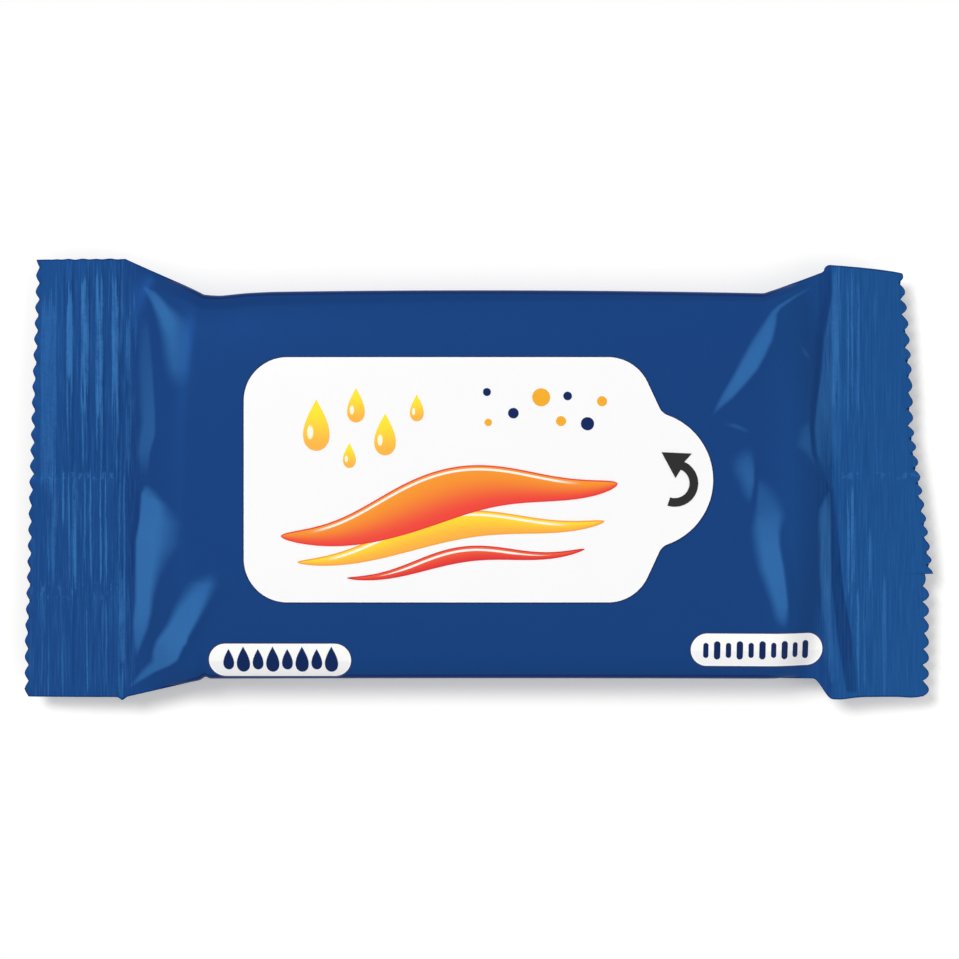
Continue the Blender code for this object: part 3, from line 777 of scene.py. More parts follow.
def streaks(tree, given):
    # lines that run across the pack, as the sealing jaws draw them; size in mm
    scales = [maths(tree, "DIVIDE", 1000.0, given[name]) for name in ("size", "length")]
    stretched = vectorMaths(tree, "MULTIPLY", objectPlace(tree), vector(tree, *scales))
    return {"Vector": stretched, "Scale": 1.0, "Detail": 3.0, "Roughness": 0.6}


fineGrain = buildToneGroup("fineGrain", ("size", "roughen"), speckle)
jawStreaks = buildToneGroup("jawStreaks", ("size", "length"), streaks)
crimpTree, finTree = buildCrimpTree(), buildFinTree()
printTree, scatterTree = buildPrintTree(), buildScatterTree()
print("node trees built")


# Materials

def startMaterial(name, roughness, specular=0.3, metallic=0.0):
    made = bpy.data.materials.new(name)
    made.use_nodes = True
    tree = made.node_tree
    facts = {"Roughness": roughness, "Specular IOR Level": specular, "Metallic": metallic}
    return made, tree, feed(tree, tree.nodes["Principled BSDF"], facts)


def toneOf(tree, group, *values):
    return addNode(tree, "ShaderNodeGroup", dict(enumerate(values)), node_tree=group).outputs[0]


def bumpOf(tree, height, strength, distance):
    inputs = {"Height": height, "Strength": strength, "Distance": distance}
    return addNode(tree, "ShaderNodeBump", inputs).outputs[0]


filmLook = {
    # body is the film's own ink; the others are painted light: the seals' sheen, the highlights, the shade,
    # and the shade along the outline
    "body": ink(27, 66, 125),
    "seal": ink(31, 81, 141),
    "shine": ink(51, 107, 168),
    "shadeInk": ink(22, 54, 106),
    "edge": ink(10, 44, 104),
    "specularTint": (0.1, 0.45, 0.8, 1.0),
    "metallic": 0.07,
    "specular": 0.02,
    "roughness": 0.33,
    # the tones: speckles with their size and roughness, and streaks with their breadth and length
    "speckles": {
        "grain": (0.28, 0.6), "cloud": (3.2, 0.55), "fray": (0.7, 0.5), "mottle": (0.5, 0.6),
        "tick": (1.2, 0.7),
    },
    "streaks": {"streak": (0.28, 8.0), "crinkle": (0.55, 1.5)},
    # and how much of each is in the waver and breakup of the painted rib highlights, and in colour, roughness
    # and relief
    "waver": {"cloud": 0.1, "fray": 0.07},
    "highlightBreakup": {"cloud": 0.5, "streak": 0.6, "mottle": 0.6},
    "highlightBreakupBase": 0.88,
    "tint": {"grain": 0.05, "cloud": 0.02},
    "rough": {"grain": 0.06},
    "relief": {"grain": 0.125},
    "bump": (0.5, 0.00005),   # strength, and height in metres
    "lines": 0.85,
    "glints": (0.35, 0.25, 0.7),             # about this Y, full up to this distance and gone at this one
    "glintTurn": 5.2,         # their wave turns by this much per mm and has this share; the ramp makes dashes
    "glintWave": 0.16,
    "glintRamp": (0.02, 0.26),
    "crinkleGlints": (finEdge - 2.6, 0.7, 1.8),
    "crinkleRamp": (0.08, 0.3),
}
# Painted highlight bands on the ribs that the jaws pressed in, also in the bump. Each set is ordered from the
# wipes
# outwards: X of the middle, width, softness of the edges, strength (below 0 is painted shade), and Y from and
# to.
ribHighlightBands = {
    "leftUpper": [
        (-52.7, 0.35, 0.12, 0.35, 19, 27), (-53.8, 0.9, 0.15, 0.38, 1, 25.5),
        (-54.9, 0.4, 0.12, 0.4, 19.7, 30.4), (-55.85, 1.08, 0.1, 0.9, 9.5, 29.3),
        (-58.3, 1.08, 0.1, 0.95, 9, 29.6), (-60.55, 1.17, 0.1, 0.95, 11.5, 30),
        (-62.95, 1, 0.1, 0.95, 14, 29.4), (-64.2, 1.2, 0.15, -0.25, 1, 30),
        (-66.2, 2.5, 0.12, 0.36, -2, 27)],
    "leftRibEnds": [
        (-55.5, 0.26, 0.08, 0.75, 3, 12), (-56.2, 0.22, 0.08, 0.6, 6.5, 12),
        (-58, 0.24, 0.08, 0.7, 4.5, 12), (-58.7, 0.24, 0.08, 0.8, 2.5, 12),
        (-60.3, 0.22, 0.08, 0.6, 5.5, 14), (-60.85, 0.26, 0.08, 0.8, 4.5, 14),
        (-62.7, 0.24, 0.08, 0.5, 8.5, 17), (-63.25, 0.26, 0.08, 0.6, 6.5, 17)],
    "leftFin": [
        (-54.5, 0.3, 0.12, 0.62, -15.5, 0.2), (-55.2, 0.25, 0.08, 0.62, -15.5, 0.4),
        (-57.3, 0.24, 0.07, 1.12, -15.8, 0.4), (-58.1, 0.24, 0.07, 1.12, -15.9, 0.4),
        (-59.65, 0.24, 0.07, 1.12, -14.1, 0.4), (-60.55, 0.22, 0.07, 0.75, -15.5, 0.2),
        (-62.2, 0.55, 0.18, 0.88, -17.2, 0.4), (-63, 0.2, 0.07, 1, -15.9, 0.3),
        (-63.95, 0.3, 0.08, 0.75, -5.7, 0.4), (-65.45, 0.6, 0.2, 0.5, -15.5, 0.3),
        (-66.3, 0.25, 0.1, 0.38, -15, 0)],
    "leftLower": [
        (-54.9, 1, 0.3, 0.6, -32.6, -14), (-57.2, 0.24, 0.08, 0.6, -33, -18.5),
        (-57.8, 0.24, 0.1, 0.4, -33, -20), (-60.2, 0.24, 0.07, 0.7, -33.3, -18.7),
        (-62.3, 0.3, 0.2, -0.3, -33, -19), (-64, 0.35, 0.15, 0.4, -33.2, -21),
        (-66.3, 0.25, 0.1, 0.5, -33.2, -30), (-67.2, 0.3, 0.12, 0.3, -33, -17.5)],
    "rightUpper": [
        (54.85, 1.15, 0.2, 0.42, 11, 33), (56.7, 0.25, 0.08, 0.8, 9.7, 30.4),
        (57.3, 0.25, 0.08, 0.8, 9.7, 30.4), (58.25, 0.4, 0.1, 0.55, 13, 28.3),
        (60.9, 0.3, 0.15, 0.2, 6, 25)],
    "rightLower": [
        (56.75, 0.4, 0.08, 0.9, -17.2, -3.4), (57.4, 0.45, 0.1, 0.95, -16.1, -3),
        (58.2, 0.35, 0.1, 0.75, -31, -18), (59.2, 0.3, 0.15, 0.4, -31, -20),
        (60, 0.6, 0.2, 0.5, -17.2, -9), (62.3, 0.5, 0.12, 0.6, -32.6, -15.5)],
}
jaws = {
    "start": sealX - 3.0,     # the curves run from this |X| over this depth
    "span": 19.4,
    "across": 80.0,           # and hold where the marks end, in a band of Y this wide
    "ends": (-1.2, 1.8),      # the ends are soft, and split into lines that differ by up to this much
    "split": 10.0,
}


def curveOver(tree, depth, points):
    # a 0 to 1 curve over the depth of a seal, through the given points
    node = addNode(tree, "ShaderNodeFloatCurve", {"Value": depth})
    line = node.mapping.curves[0]
    line.points[0].location = (0.0, points[0][1])
    line.points[1].location = (1.0, points[-1][1])
    for at, value in points:
        line.points.new(at, value)
    for point in line.points:
        point.handle_type = "VECTOR"
    node.mapping.update()
    return node.outputs[0]


def stairs(places, values):
    # points of a curve that holds each value around its place
    made = []
    for a, b, value, following in zip(places, places[1:], values, values[1:]):
        made += [((a + b) / 2 - 0.001, value), ((a + b) / 2 + 0.001, following)]
    return made


def ribHighlightSet(tree, depth, y, ribHighlights, split):
    # all painted highlight bands of a set at once: one curve holds their strengths, two hold where they start
    # and end
    strengths, places = [], [(abs(mark[0]) - jaws["start"]) / jaws["span"] for mark in ribHighlights]
    for x, width, soft, strength, _, _ in ribHighlights:
        at, half = abs(x) - jaws["start"], width / 2
        corners = (-half - soft, 0), (-half + soft, strength), (half - soft, strength), (half + soft, 0)
        for offset, value in corners:
            strengths.append((clamp((at + offset) / jaws["span"]), 0.5 + value / 2))
    across = jaws["across"]
    low, high = (
        maths(tree, "MULTIPLY_ADD", curveOver(tree, depth, stairs(places, values)), across, -across / 2)
        for values in ([0.5 + mark[end] / across for mark in ribHighlights] for end in (4, 5)))
    strength = maths(tree, "MULTIPLY_ADD", curveOver(tree, depth, strengths), 2.0, -1.0)
    inside = (plus(tree, minus(tree, a, b), split) for a, b in ((y, low), (high, y)))
    return times(tree, strength, *(ramp(tree, distance, *jaws["ends"]) for distance in inside))


def buildFilmMaterial():
    look = filmLook
    plain = (look[name] for name in ("roughness", "specular", "metallic"))
    made, tree, shader = startMaterial("printedFilmBlue", *plain)
    x, y, _ = axesOf(tree, scaled(tree, objectPlace(tree), 1000.0))
    tones = {name: toneOf(tree, fineGrain, *sizes) for name, sizes in look["speckles"].items()}
    tones |= {name: toneOf(tree, jawStreaks, *sizes) for name, sizes in look["streaks"].items()}

    def toned(base, recipe):
        return weighted(tree, base, *((tones[name], weight) for name, weight in look[recipe].items()))

    # painted highlight bands on the jaws' ribs, with a slight waver along them
    waver = toned(0.0, "waver")
    depth = plus(tree, minus(tree, maths(tree, "ABSOLUTE", x), jaws["start"]), waver)
    depth = held(tree, maths(tree, "DIVIDE", depth, jaws["span"]))
    split = times(tree, tones["streak"], jaws["split"])
    sets = {name: ribHighlightSet(tree, depth, y, ribHighlights, split) for name, ribHighlights in ribHighlightBands.items()}
    upperLeft = maths(tree, "MAXIMUM", sets["leftUpper"], sets["leftRibEnds"])
    left = plus(tree, upperLeft, sets["leftFin"], sets["leftLower"])
    right = plus(tree, sets["rightUpper"], sets["rightLower"])
    ribHighlights = choose(tree, maths(tree, "GREATER_THAN", x, 0.0), left, right)
    ribHighlights = times(tree, ribHighlights, toned(look["highlightBreakupBase"], "highlightBreakup"), attribute(tree, "pressed"))
    lines = times(tree, tones["streak"], attribute(tree, "lineShare"), look["lines"])

    # painted glints: a row over the fin's fold, and more on the crinkles below its free edge
    wave = maths(tree, "SINE", times(tree, plus(tree, x, waver), look["glintTurn"]))
    dashes = ramp(tree, weighted(tree, tones["tick"], (wave, look["glintWave"])), *look["glintRamp"])
    glints = times(tree, near(tree, y, *look["glints"]), dashes, attribute(tree, "glintShare"))
    crinkleGlints = ramp(tree, tones["crinkle"], *look["crinkleRamp"])
    crinkleGlints = times(tree, crinkleGlints, near(tree, y, *look["crinkleGlints"]))
    glints = weighted(tree, glints, (crinkleGlints, attribute(tree, "crinkleShare")))

    # folds: painted highlight between their crest and their foot, painted shade where the shine is below 0
    shine = plus(tree, ribHighlights, lines, glints)
    for layer in ("blade", "gather"):
        crest, foot = (ramp(tree, attribute(tree, layer + part), -1.0, 1.0) for part in ("Crest", "Foot"))
        shine = plus(tree, shine, times(tree, crest, foot, attribute(tree, layer + "Shine")))
    shine = minus(tree, shine, attribute(tree, "sideShade"))
    # the colour: the seals' painted sheen, then painted highlight towards the shine ink, painted shade
    # towards the shade ink and along the outline
    base = blendColour(tree, attribute(tree, "sealShare"), look["body"], look["seal"])
    base = blendColour(tree, held(tree, shine), base, look["shine"])
    base = blendColour(tree, held(tree, times(tree, shine, -1.0)), base, look["shadeInk"])
    base = blendColour(tree, attribute(tree, "edgeLine"), base, look["edge"])
    feed(tree, shader, {
        "Base Color": scaled(tree, base, toned(1.0, "tint")),
        "Roughness": toned(look["roughness"], "rough"),
        "Specular Tint": look["specularTint"],
        "Normal": bumpOf(tree, toned(plus(tree, lines, ribHighlights), "relief"), *look["bump"]),
    })
    return made


# Print. A paint is a function that puts out an ink's colour. All inks and the label stock share one tooth.

printTooth = {"size": 0.25, "roughen": 0.5, "tint": 0.015, "bump": (0.3, 0.000003)}


def printMaterial(name, paint, roughness=0.4, specular=0.3):
    made, tree, shader = startMaterial(name, roughness, specular)
    grain = toneOf(tree, fineGrain, printTooth["size"], printTooth["roughen"])
    tinted = scaled(tree, paint(tree), weighted(tree, 1.0, (grain, printTooth["tint"])))
    feed(tree, shader, {"Base Color": tinted, "Normal": bumpOf(tree, grain, *printTooth["bump"])})
    return made


def cloudy(colour, size=1.6, roughen=0.5, spread=0.7, depth=0.94):
    # one colour, slightly deeper in soft clouds
    def paint(tree):
        share = ramp(tree, toneOf(tree, fineGrain, size, roughen), -spread, spread)
        return blendColour(tree, share, colour, tuple(v * depth for v in colour[:3]) + (1.0,))
    return paint


def capsulePaint(tree):
    # white over pale grey, with a white rim and a fine darker line round it
    up, rim = attribute(tree, "upShare"), attribute(tree, "fromRim")
    face = blendColour(tree, ramp(tree, up, 0.44, 0.50), ink(246, 246, 247), ink(255, 255, 252))
    face = blendColour(tree, ramp(tree, rim, 0.36, 0.44), ink(255, 255, 255), face)
    return blendColour(tree, ramp(tree, rim, 0.18, 0.26), ink(14, 44, 104), face)


def wavePaint(top, bottom, edge):
    # a wave's ink runs from its top tone to its bottom tone, with a fine edge and a white glint line
    def paint(tree):
        across, rim, along = (attribute(tree, name) for name in ("acrossShare", "fromEdge", "alongShare"))
        glint = times(
            tree, ramp(tree, rim, 0.42, 0.52), fall(tree, rim, 0.74, 0.86), fall(tree, across, 0.45, 0.5),
            ramp(tree, along, 0.08, 0.16), fall(tree, along, 0.80, 0.90))
        body = blendColour(tree, ramp(tree, across, 0.1, 0.95), ink(*top), ink(*bottom))
        body = blendColour(tree, glint, body, ink(252, 246, 240))
        return blendColour(tree, ramp(tree, rim, 0.16, 0.24), ink(*edge), body)
    return paint


def dropPaint(light, deep, spot):
    # a drop's ink is deeper at its foot, with a round light spot
    def paint(tree):
        up, side = attribute(tree, "upShare"), attribute(tree, "sideShare")
        fromSpot = vector(tree, plus(tree, side, 0.34), times(tree, minus(tree, up, 0.36), 1.3))
        gap = vectorMaths(tree, "LENGTH", fromSpot, output="Value")
        body = blendColour(tree, ramp(tree, up, 0.0, 0.9), ink(*deep), ink(*light))
        return blendColour(tree, ramp(tree, gap, 0.14, 0.20), ink(*spot), body)
    return paint


# one of these inks colours the painted shadow round the label
plainInks = {
    "navyInk": (2, 34, 88), "charcoalInk": (40, 40, 40), "blackInk": (8, 8, 8), "rimInk": (14, 44, 98),
    "amberDotInk": (250, 176, 44),
}
waveInks = {
    "emberInk": ((247, 150, 32), (238, 62, 50), (232, 48, 40)),
    "amberInk": ((255, 222, 40), (252, 176, 60), (250, 160, 40)),
    "coralInk": ((242, 96, 48), (226, 44, 44), (216, 38, 38)),
}
filmBlue = buildFilmMaterial()
labelWhite = printMaterial("labelStockWhite", cloudy((0.95, 0.95, 0.95, 1.0), 9.0, 0.4, 0.6, 0.992), 0.42)
inks = {name: printMaterial(name, cloudy(ink(*tone)), specular=0.12) for name, tone in plainInks.items()}
inks |= {name: printMaterial(name, wavePaint(*tones)) for name, tones in waveInks.items()}
inks["capsuleInk"] = printMaterial("capsuleInk", capsulePaint)
inks["sunDropInk"] = printMaterial("sunDropInk", dropPaint((255, 232, 36), (252, 178, 62), (255, 250, 224)))
print("materials built")


# Film wrapper

# What the film's points carry. Pairs named "From" or "To" say where an effect is 0 and where it is full, and
# the other pairs are the left seal's and the right seal's value.
bite = {                      # how firmly the jaws bit: at the left above the fin, over it and below it
    "upper": 1.0,
    "fin": 0.4,
    "lower": 0.2,
    "finFrom": (finSeal["root"] + 1.8, finSeal["root"] - 0.2),
    "lowerFrom": (finEdge - 1.2, finEdge - 2.0),
    "side": 0.2,              # share of it at the pouch's sides, and how far in that reaches
    "sideReach": 4.0,
    "right": 0.3,
    "outer": 0.35,            # share of it in the right seal's outer ribs
    "outerFrom": (4.5, 6.5),
}
finish = {
    "cutEase": (1.4, 2.0),    # the teeth's cut draws the film in over this depth
    "pressedStart": (2.2, 2.8),
    "pressedEase": 0.8,
    "sealStart": (1.6, 0.4),  # the pressed film's painted sheen starts so far inside the seal's line, with this ease
    "sealEase": (3.2, 0.8),
    # the left seal has only this share of the painted sheen
    "leftSealSheen": 0.35,
    "bow": 3.4,               # the right one's inner line bows inwards by this much, about this Y
    "bowMiddle": 6.0,
    "bowReach": 9.0,
    "bowFrom": (-3.0, 2.0),
    "sheen": 0.28,            # and the shoulder beside it has a little of that painted sheen
    "sheenFrom": (0.0, 2.0),
    "sheenTo": (12.0, 6.0),
    "glint": (0.5, 0.45),
    "glintFrom": (1.0, 2.0),
    "crinkle": (0.55, 0.1),
    "crinkleFrom": (0.5, 1.5),
    "outline": 0.26,          # breadth of the painted shade along the seals' outline
    "sideOutline": 0.84,      # over the wipes more of the side shows
    "sideFrom": (4.0, 12.0),
    "cutOutline": 0.28,
    "shade": 0.42,            # the body's upper side is shaded over this breadth, less towards +X
    "shadeBreadth": 2.3,
    "shadeLean": 0.012,
    "shadeEase": 0.9,
    "shadeTo": (0.0, 10.0),
    "calm": (0.75, 0.375),    # the jaws' fine lines are this much weaker in the outer part of each seal
    "leftCalmFrom": (11.0, 11.3),
    "leftCalmAcross": (-3.0, -1.5),
    "rightCalmFrom": (5.0, 8.0),
}


def ribStrengthAt(x, y):
    outward = -insideOf(x)
    fromSide = halfWidth(x, y) - np.abs(y - bodyMiddle)
    left = mix(bite["upper"], bite["fin"], eased(y, *bite["finFrom"]))
    left = mix(left, bite["lower"], eased(y, *bite["lowerFrom"]))
    left = left * mix(bite["side"], 1.0, smooth(fromSide / bite["sideReach"]))
    right = bite["right"] * mix(1.0, bite["outer"], eased(outward, *bite["outerFrom"]))
    uneven = 0.9 + 0.12 * np.sin(y / 2.7 + outward) + 0.08 * np.sin(y / 1.1 - 2 * outward)
    return bySide(x, left, right) * uneven


def sealSheenShareAt(x, y):
    # 1 in the pressed film, whose lighter tone is a painted sheen; the right seal's shoulder gets a little
    # painted sheen too
    inside = insideOf(x)
    bow = finish["bow"] * bell(y - finish["bowMiddle"], finish["bowReach"]) * eased(y, *finish["bowFrom"])
    bow = bySide(x, 0.0, bow)
    share = smooth((bow - inside + bySide(x, *finish["sealStart"])) / bySide(x, *finish["sealEase"]))
    sheen = finish["sheen"] * eased(inside, *finish["sheenFrom"]) * eased(inside, *finish["sheenTo"])
    return bySide(x, finish["leftSealSheen"] * share, np.maximum(share, sheen))


def dressFilm(mesh, x, y, placed, onFront, shown):
    # what the crimp tree and the film's material read, for every point of the mesh
    inside = insideOf(x)
    outward, fromTop = np.maximum(-inside, 0.0), upperEdge(x) - y
    ease = bySide(x, *finish["cutEase"])
    pressed = smooth((bySide(x, *finish["pressedStart"]) - inside) / finish["pressedEase"])
    leftCalm = eased(outward, *finish["leftCalmFrom"]) * eased(y, *finish["leftCalmAcross"])
    calm = bySide(x, leftCalm, eased(outward, *finish["rightCalmFrom"])) * bySide(x, *finish["calm"])
    # painted shade along the pack's outline and its cut edges
    line, cutLine = finish["outline"], finish["cutOutline"]
    reach = mix(line, finish["sideOutline"], eased(inside, *finish["sideFrom"]))
    bySides = (reach - np.minimum(fromTop, y - lowerEdge(x))) / line
    byCut = (cutLine - (pouch["sealDepth"] - outward)) / cutLine
    shade = smooth((finish["shadeBreadth"] - finish["shadeLean"] * x - fromTop) / finish["shadeEase"])
    values = {
        "outward": np.abs(placed) - sealX,
        "ribStrength": ribStrengthAt(x, y),
        "toothLobe": toothLobe(x, y),
        "cutWeight": smooth((outward - pouch["sealDepth"] + ease) / ease),
        "sealShare": sealSheenShareAt(x, y),
        "pressed": pressed,
        "lineShare": pressed * (1 - calm),
        "glintShare": eased(outward, *finish["glintFrom"]) * bySide(x, *finish["glint"]) * onFront,
        "crinkleShare": eased(outward, *finish["crinkleFrom"]) * bySide(x, *finish["crinkle"]) * onFront,
        "edgeLine": smooth(np.maximum(bySides, byCut)) * shown,
        "sideShade": finish["shade"] * shade * eased(inside, *finish["shadeTo"]) * onFront,
    }
    for layer, (crest, foot, shine) in foldField(x, y)[1].items():
        values |= {layer + "Crest": crest, layer + "Foot": foot, layer + "Shine": shine * onFront}
    for name, value in values.items():
        floatAttribute(mesh, name, value)


def filmPiece(name, x, y, top, bottom, backPlaces, shown):
    # a closed piece of film between two heights, with X and Y of all its points; shown is 1 for the
    # wrapper, whose front has the folds' painted highlights and the painted shade along the outline, and 0
    # for the fin
    def around(part):
        # a value of the front's places, and of the back's on the way back
        return np.concatenate([part, part[:, backPlaces][:, ::-1]], axis=1)

    placed = fitToCut(x, y)
    front, back = (np.stack([placed, y, height], axis=-1) for height in (top, bottom))
    mesh = closedLoft(name, front, back[:, backPlaces], backPlaces)
    allX, allY = around(x), around(y)
    onFront = np.where(np.arange(allX.shape[1]) < x.shape[1], shown, 0.0) + 0 * allX
    dressFilm(mesh, allX, allY, around(placed), onFront, shown)
    return newPiece(name, mesh), allX, allY


def pressAndCut(piece):
    addTree(piece, crimpTree, material=filmBlue, **crimp)
    return applyStack(piece, 50)


def buildFilmWrapper():
    stations = stationsAlong()
    y = acrossPack(stations)
    x = np.repeat(stations[:, None], y.shape[1], axis=1)
    top = frontHeight(x, y)
    bottom = np.minimum(backHeight(x, y), top - 0.1)
    backPlaces = sorted(set(range(0, y.shape[1], 2)) | {teeth["stepPlace"] + 1})
    return pressAndCut(filmPiece("filmWrapper", x, y, top, bottom, backPlaces, 1.0)[0])


filmWrapper = buildFilmWrapper()
print("film wrapper:", len(filmWrapper.data.polygons), "faces")


# Fin seal, folded flat on the back

finSheet = {
    "rows": 31,
    "gap": 0.3,               # between two stations, from so far inside the seals on
    "reach": 4.0,
    "below": 0.03,            # it lies this far under the back film; its free edge hangs lower and waves
    "hang": 0.04,
    "wave": 0.03,
    "waveLength": 6.0,
    "looseEdge": 2.0,
    "gripEase": 1.5,          # the ridges start so far from both edges
}


def buildFinSeal():
    stations, ridged = stationsAlong(), sealX - finSheet["reach"]
    outer = np.abs(stations) >= ridged
    fine = np.arange(-ridged, ridged, finSheet["gap"])
    along = np.concatenate([stations[outer & (stations < 0)], fine, stations[outer & (stations > 0)]])
    across = np.linspace(stepY + 0.05, finSeal["root"], finSheet["rows"])
    x, y = np.meshgrid(along, across, indexing="ij")
    loose = 1 - smooth((y - finEdge) / finSheet["looseEdge"])
    wave = finSheet["wave"] * np.sin(x / finSheet["waveLength"])
    top = backHeight(x, y) - finSheet["below"] + (wave - finSheet["hang"]) * loose
    bottom = top - finSeal["thickness"]
    piece, x, y = filmPiece("finSeal", x, y, top, bottom, list(range(len(across))), 0.0)
    grip, fold = finSheet["gripEase"], finSeal["root"]
    gripped = eased(y, finEdge, finEdge + grip) * eased(y, fold - grip, fold - 2 * grip)
    floatAttribute(piece.data, "ridgeShare", smooth(insideOf(x) / 2.0) * gripped)
    addTree(piece, finTree, material=filmBlue, **finRidge)
    return pressAndCut(piece)


finStrip = buildFinSeal()
print("fin seal:", len(finStrip.data.polygons), "faces")


# Reseal label

label = {
    "length": 61.68,
    "width": 37.08,
    "left": -35.58,
    "centreY": -0.27,
    "corner": 6.56,
    "flankAngle": 25.0,       # degrees
    "tabRadius": 10.35,
    "tabReach": 71.0,
    "neckRadius": 2.2,
    "gap": 0.05,
    "thickness": 0.16,
    "cell": 1.2,
}


def arcPoints(centre, radius, start, end, step=4.0):
    count = max(3, math.ceil(abs(end - start) / math.radians(step)))
    angles = np.linspace(start, end, count + 1)
    return [(centre[0] + radius * math.cos(a), centre[1] + radius * math.sin(a)) for a in angles]


def labelOutline(grow=0.0):
    half = label["width"] / 2 + grow
    left, right = label["left"] - grow, label["left"] + label["length"] + grow
    corner, tabRadius = label["corner"] + grow, label["tabRadius"] + grow
    neckRadius = label["neckRadius"] - grow
    flank = math.radians(label["flankAngle"])
    tab = Vector((label["left"] + label["tabReach"] - label["tabRadius"], 0.0))
    middle = Vector((right - corner, half - corner))
    normal = Vector((math.cos(flank), math.sin(flank)))
    down = Vector((normal.y, -normal.x))
    # the neck's arc touches the sloping flank and the tab's arc
    offset = middle + normal * (corner + neckRadius) - tab
    halfWay = -offset.dot(down)
    reach = halfWay**2 - offset.length_squared + (tabRadius + neckRadius) ** 2
    neck = tab + offset + down * max(0.0, halfWay - math.sqrt(max(0.0, reach)))
    toTab = math.atan2(tab.y - neck.y, tab.x - neck.x)
    upper = arcPoints((left + corner, half - corner), corner, math.pi, math.pi / 2)
    upper += arcPoints(middle, corner, math.pi / 2, flank)
    upper += arcPoints(neck, neckRadius, flank - math.pi, toTab, 8.0)
    upper += arcPoints(tab, tabRadius, toTab + math.pi, 0.0)
    lower = [(x, -y) for x, y in reversed(upper[:-1])]
    return [(x, y + label["centreY"]) for x, y in upper + lower]


def flatSheet(name, outline, cell, inset=0.0):
    # the area inside an outline, drawn in by an inset, cut into small cells so that it can follow a surface
    bm = bmesh.new()
    face = bm.faces.new([bm.verts.new((x * mm, y * mm, 0.0)) for x, y in outline])
    bm.normal_update()
    if face.normal.z < 0:
        face.normal_flip()
    if inset:
        rim = bmesh.ops.inset_region(bm, faces=[face], thickness=inset * mm, use_even_offset=True)
        bmesh.ops.delete(bm, geom=rim["faces"], context="FACES")
    for axis, normal in enumerate((Vector((1.0, 0.0, 0.0)), Vector((0.0, 1.0, 0.0)))):
        low, high = (end(v.co[axis] for v in bm.verts) for end in (min, max))
        count = max(1, math.ceil((high - low) / (cell * mm)))
        for i in range(1, count):
            everything = bm.verts[:] + bm.edges[:] + bm.faces[:]
            place = normal * mix(low, high, i / count)
            bmesh.ops.bisect_plane(bm, geom=everything, plane_co=place, plane_no=normal)
    bmesh.ops.triangulate(bm, faces=bm.faces)
    mesh = bpy.data.meshes.new(name)
    bm.to_mesh(mesh)
    bm.free()
    return mesh


def meshPlaces(mesh):
    places = np.zeros(len(mesh.vertices) * 3, dtype=np.float32)
    mesh.vertices.foreach_get("co", places)
    return places.reshape(-1, 3) / mm


def thicken(piece, thickness):
    body = piece.modifiers.new("thickness", "SOLIDIFY")
    body.thickness = thickness * mm
    body.offset = 1.0
    return piece


def buildResealLabel():
    mesh = flatSheet("resealLabel", labelOutline(), label["cell"])
    places = meshPlaces(mesh).astype(float)
    places[:, 2] = frontHeight(places[:, 0], places[:, 1]) + label["gap"]
    mesh.vertices.foreach_set("co", (places * mm).ravel())
    mesh.update()
    mesh.materials.append(labelWhite)
    return applyStack(thicken(newPiece("resealLabel", mesh), label["thickness"]), 40)


resealLabel = buildResealLabel()
print("reseal label:", len(resealLabel.data.polygons), "faces")


# Print

printLift = {"rim": 0.02, "first": 0.03, "second": 0.06}    # each layer's height over what it is printed on
printThickness = 0.02


def layOn(piece, surface, material, layer="first"):
    addTree(piece, printTree, surface=surface, lift=printLift[layer], material=material)
    return applyStack(thicken(piece, printThickness))


def turned(x, y, tilt):
    turn = math.radians(tilt)
    return x * math.cos(turn) - y * math.sin(turn), x * math.sin(turn) + y * math.cos(turn)


def capsuleOutline(length, height, centre=(0.0, 0.0), tilt=0.0):
    r = height / 2
    points = arcPoints((length / 2 - r, 0), r, -math.pi / 2, math.pi / 2)
    points += arcPoints((-length / 2 + r, 0), r, math.pi / 2, 3 * math.pi / 2)
    return [(centre[0] + x, centre[1] + y) for x, y in (turned(*point, tilt) for point in points)]


capsules = {
    "leftCapsule": {"centre": (-30.2, -27.62), "length": 22.0, "height": 5.45, "tilt": 0.0},
    "rightCapsule": {"centre": (42.4, -26.1), "length": 21.0, "height": 5.4, "tilt": -0.4},
}


def buildCapsule(name, facts):
    mesh = flatSheet(name, capsuleOutline(**facts), 0.25)
    fromCentre = meshPlaces(mesh)[:, :2] - facts["centre"]
    along, up = turned(fromCentre[:, 0], fromCentre[:, 1], -facts["tilt"])
    r = facts["height"] / 2
    pastStraight = np.maximum(np.abs(along) - facts["length"] / 2 + r, 0)
    floatAttribute(mesh, "upShare", 0.5 + up / facts["height"])
    floatAttribute(mesh, "fromRim", r - np.hypot(pastStraight, up))
    return layOn(newPiece(name, mesh), filmWrapper, inks["capsuleInk"])


capsulePieces = [buildCapsule(name, facts) for name, facts in capsules.items()]
# a dark ring on the film just round the label: a painted shadow of its edge
labelShadowMesh = flatSheet("labelRim", labelOutline(0.2), label["cell"])
labelRim = layOn(newPiece("labelRim", labelShadowMesh), filmWrapper, inks["rimInk"], "rim")


def dropMesh(name, cell):
    # a drop one unit wide, with its tip up
    turns = np.linspace(0, 2 * np.pi, 40, endpoint=False)
    outline = list(zip(0.5 * np.sin(turns) * np.sin(turns / 2) ** 1.2, 0.72 * np.cos(turns)))
    mesh = flatSheet(name, outline, cell)
    places = meshPlaces(mesh)
    floatAttribute(mesh, "upShare", (places[:, 1] + 0.72) / 1.44)
    floatAttribute(mesh, "sideShare", places[:, 0] / 0.5)
    return mesh


def roundMesh(name):
    return flatSheet(name, arcPoints((0, 0), 0.5, 0, 2 * math.pi, 12.0)[:-1], 0.3)


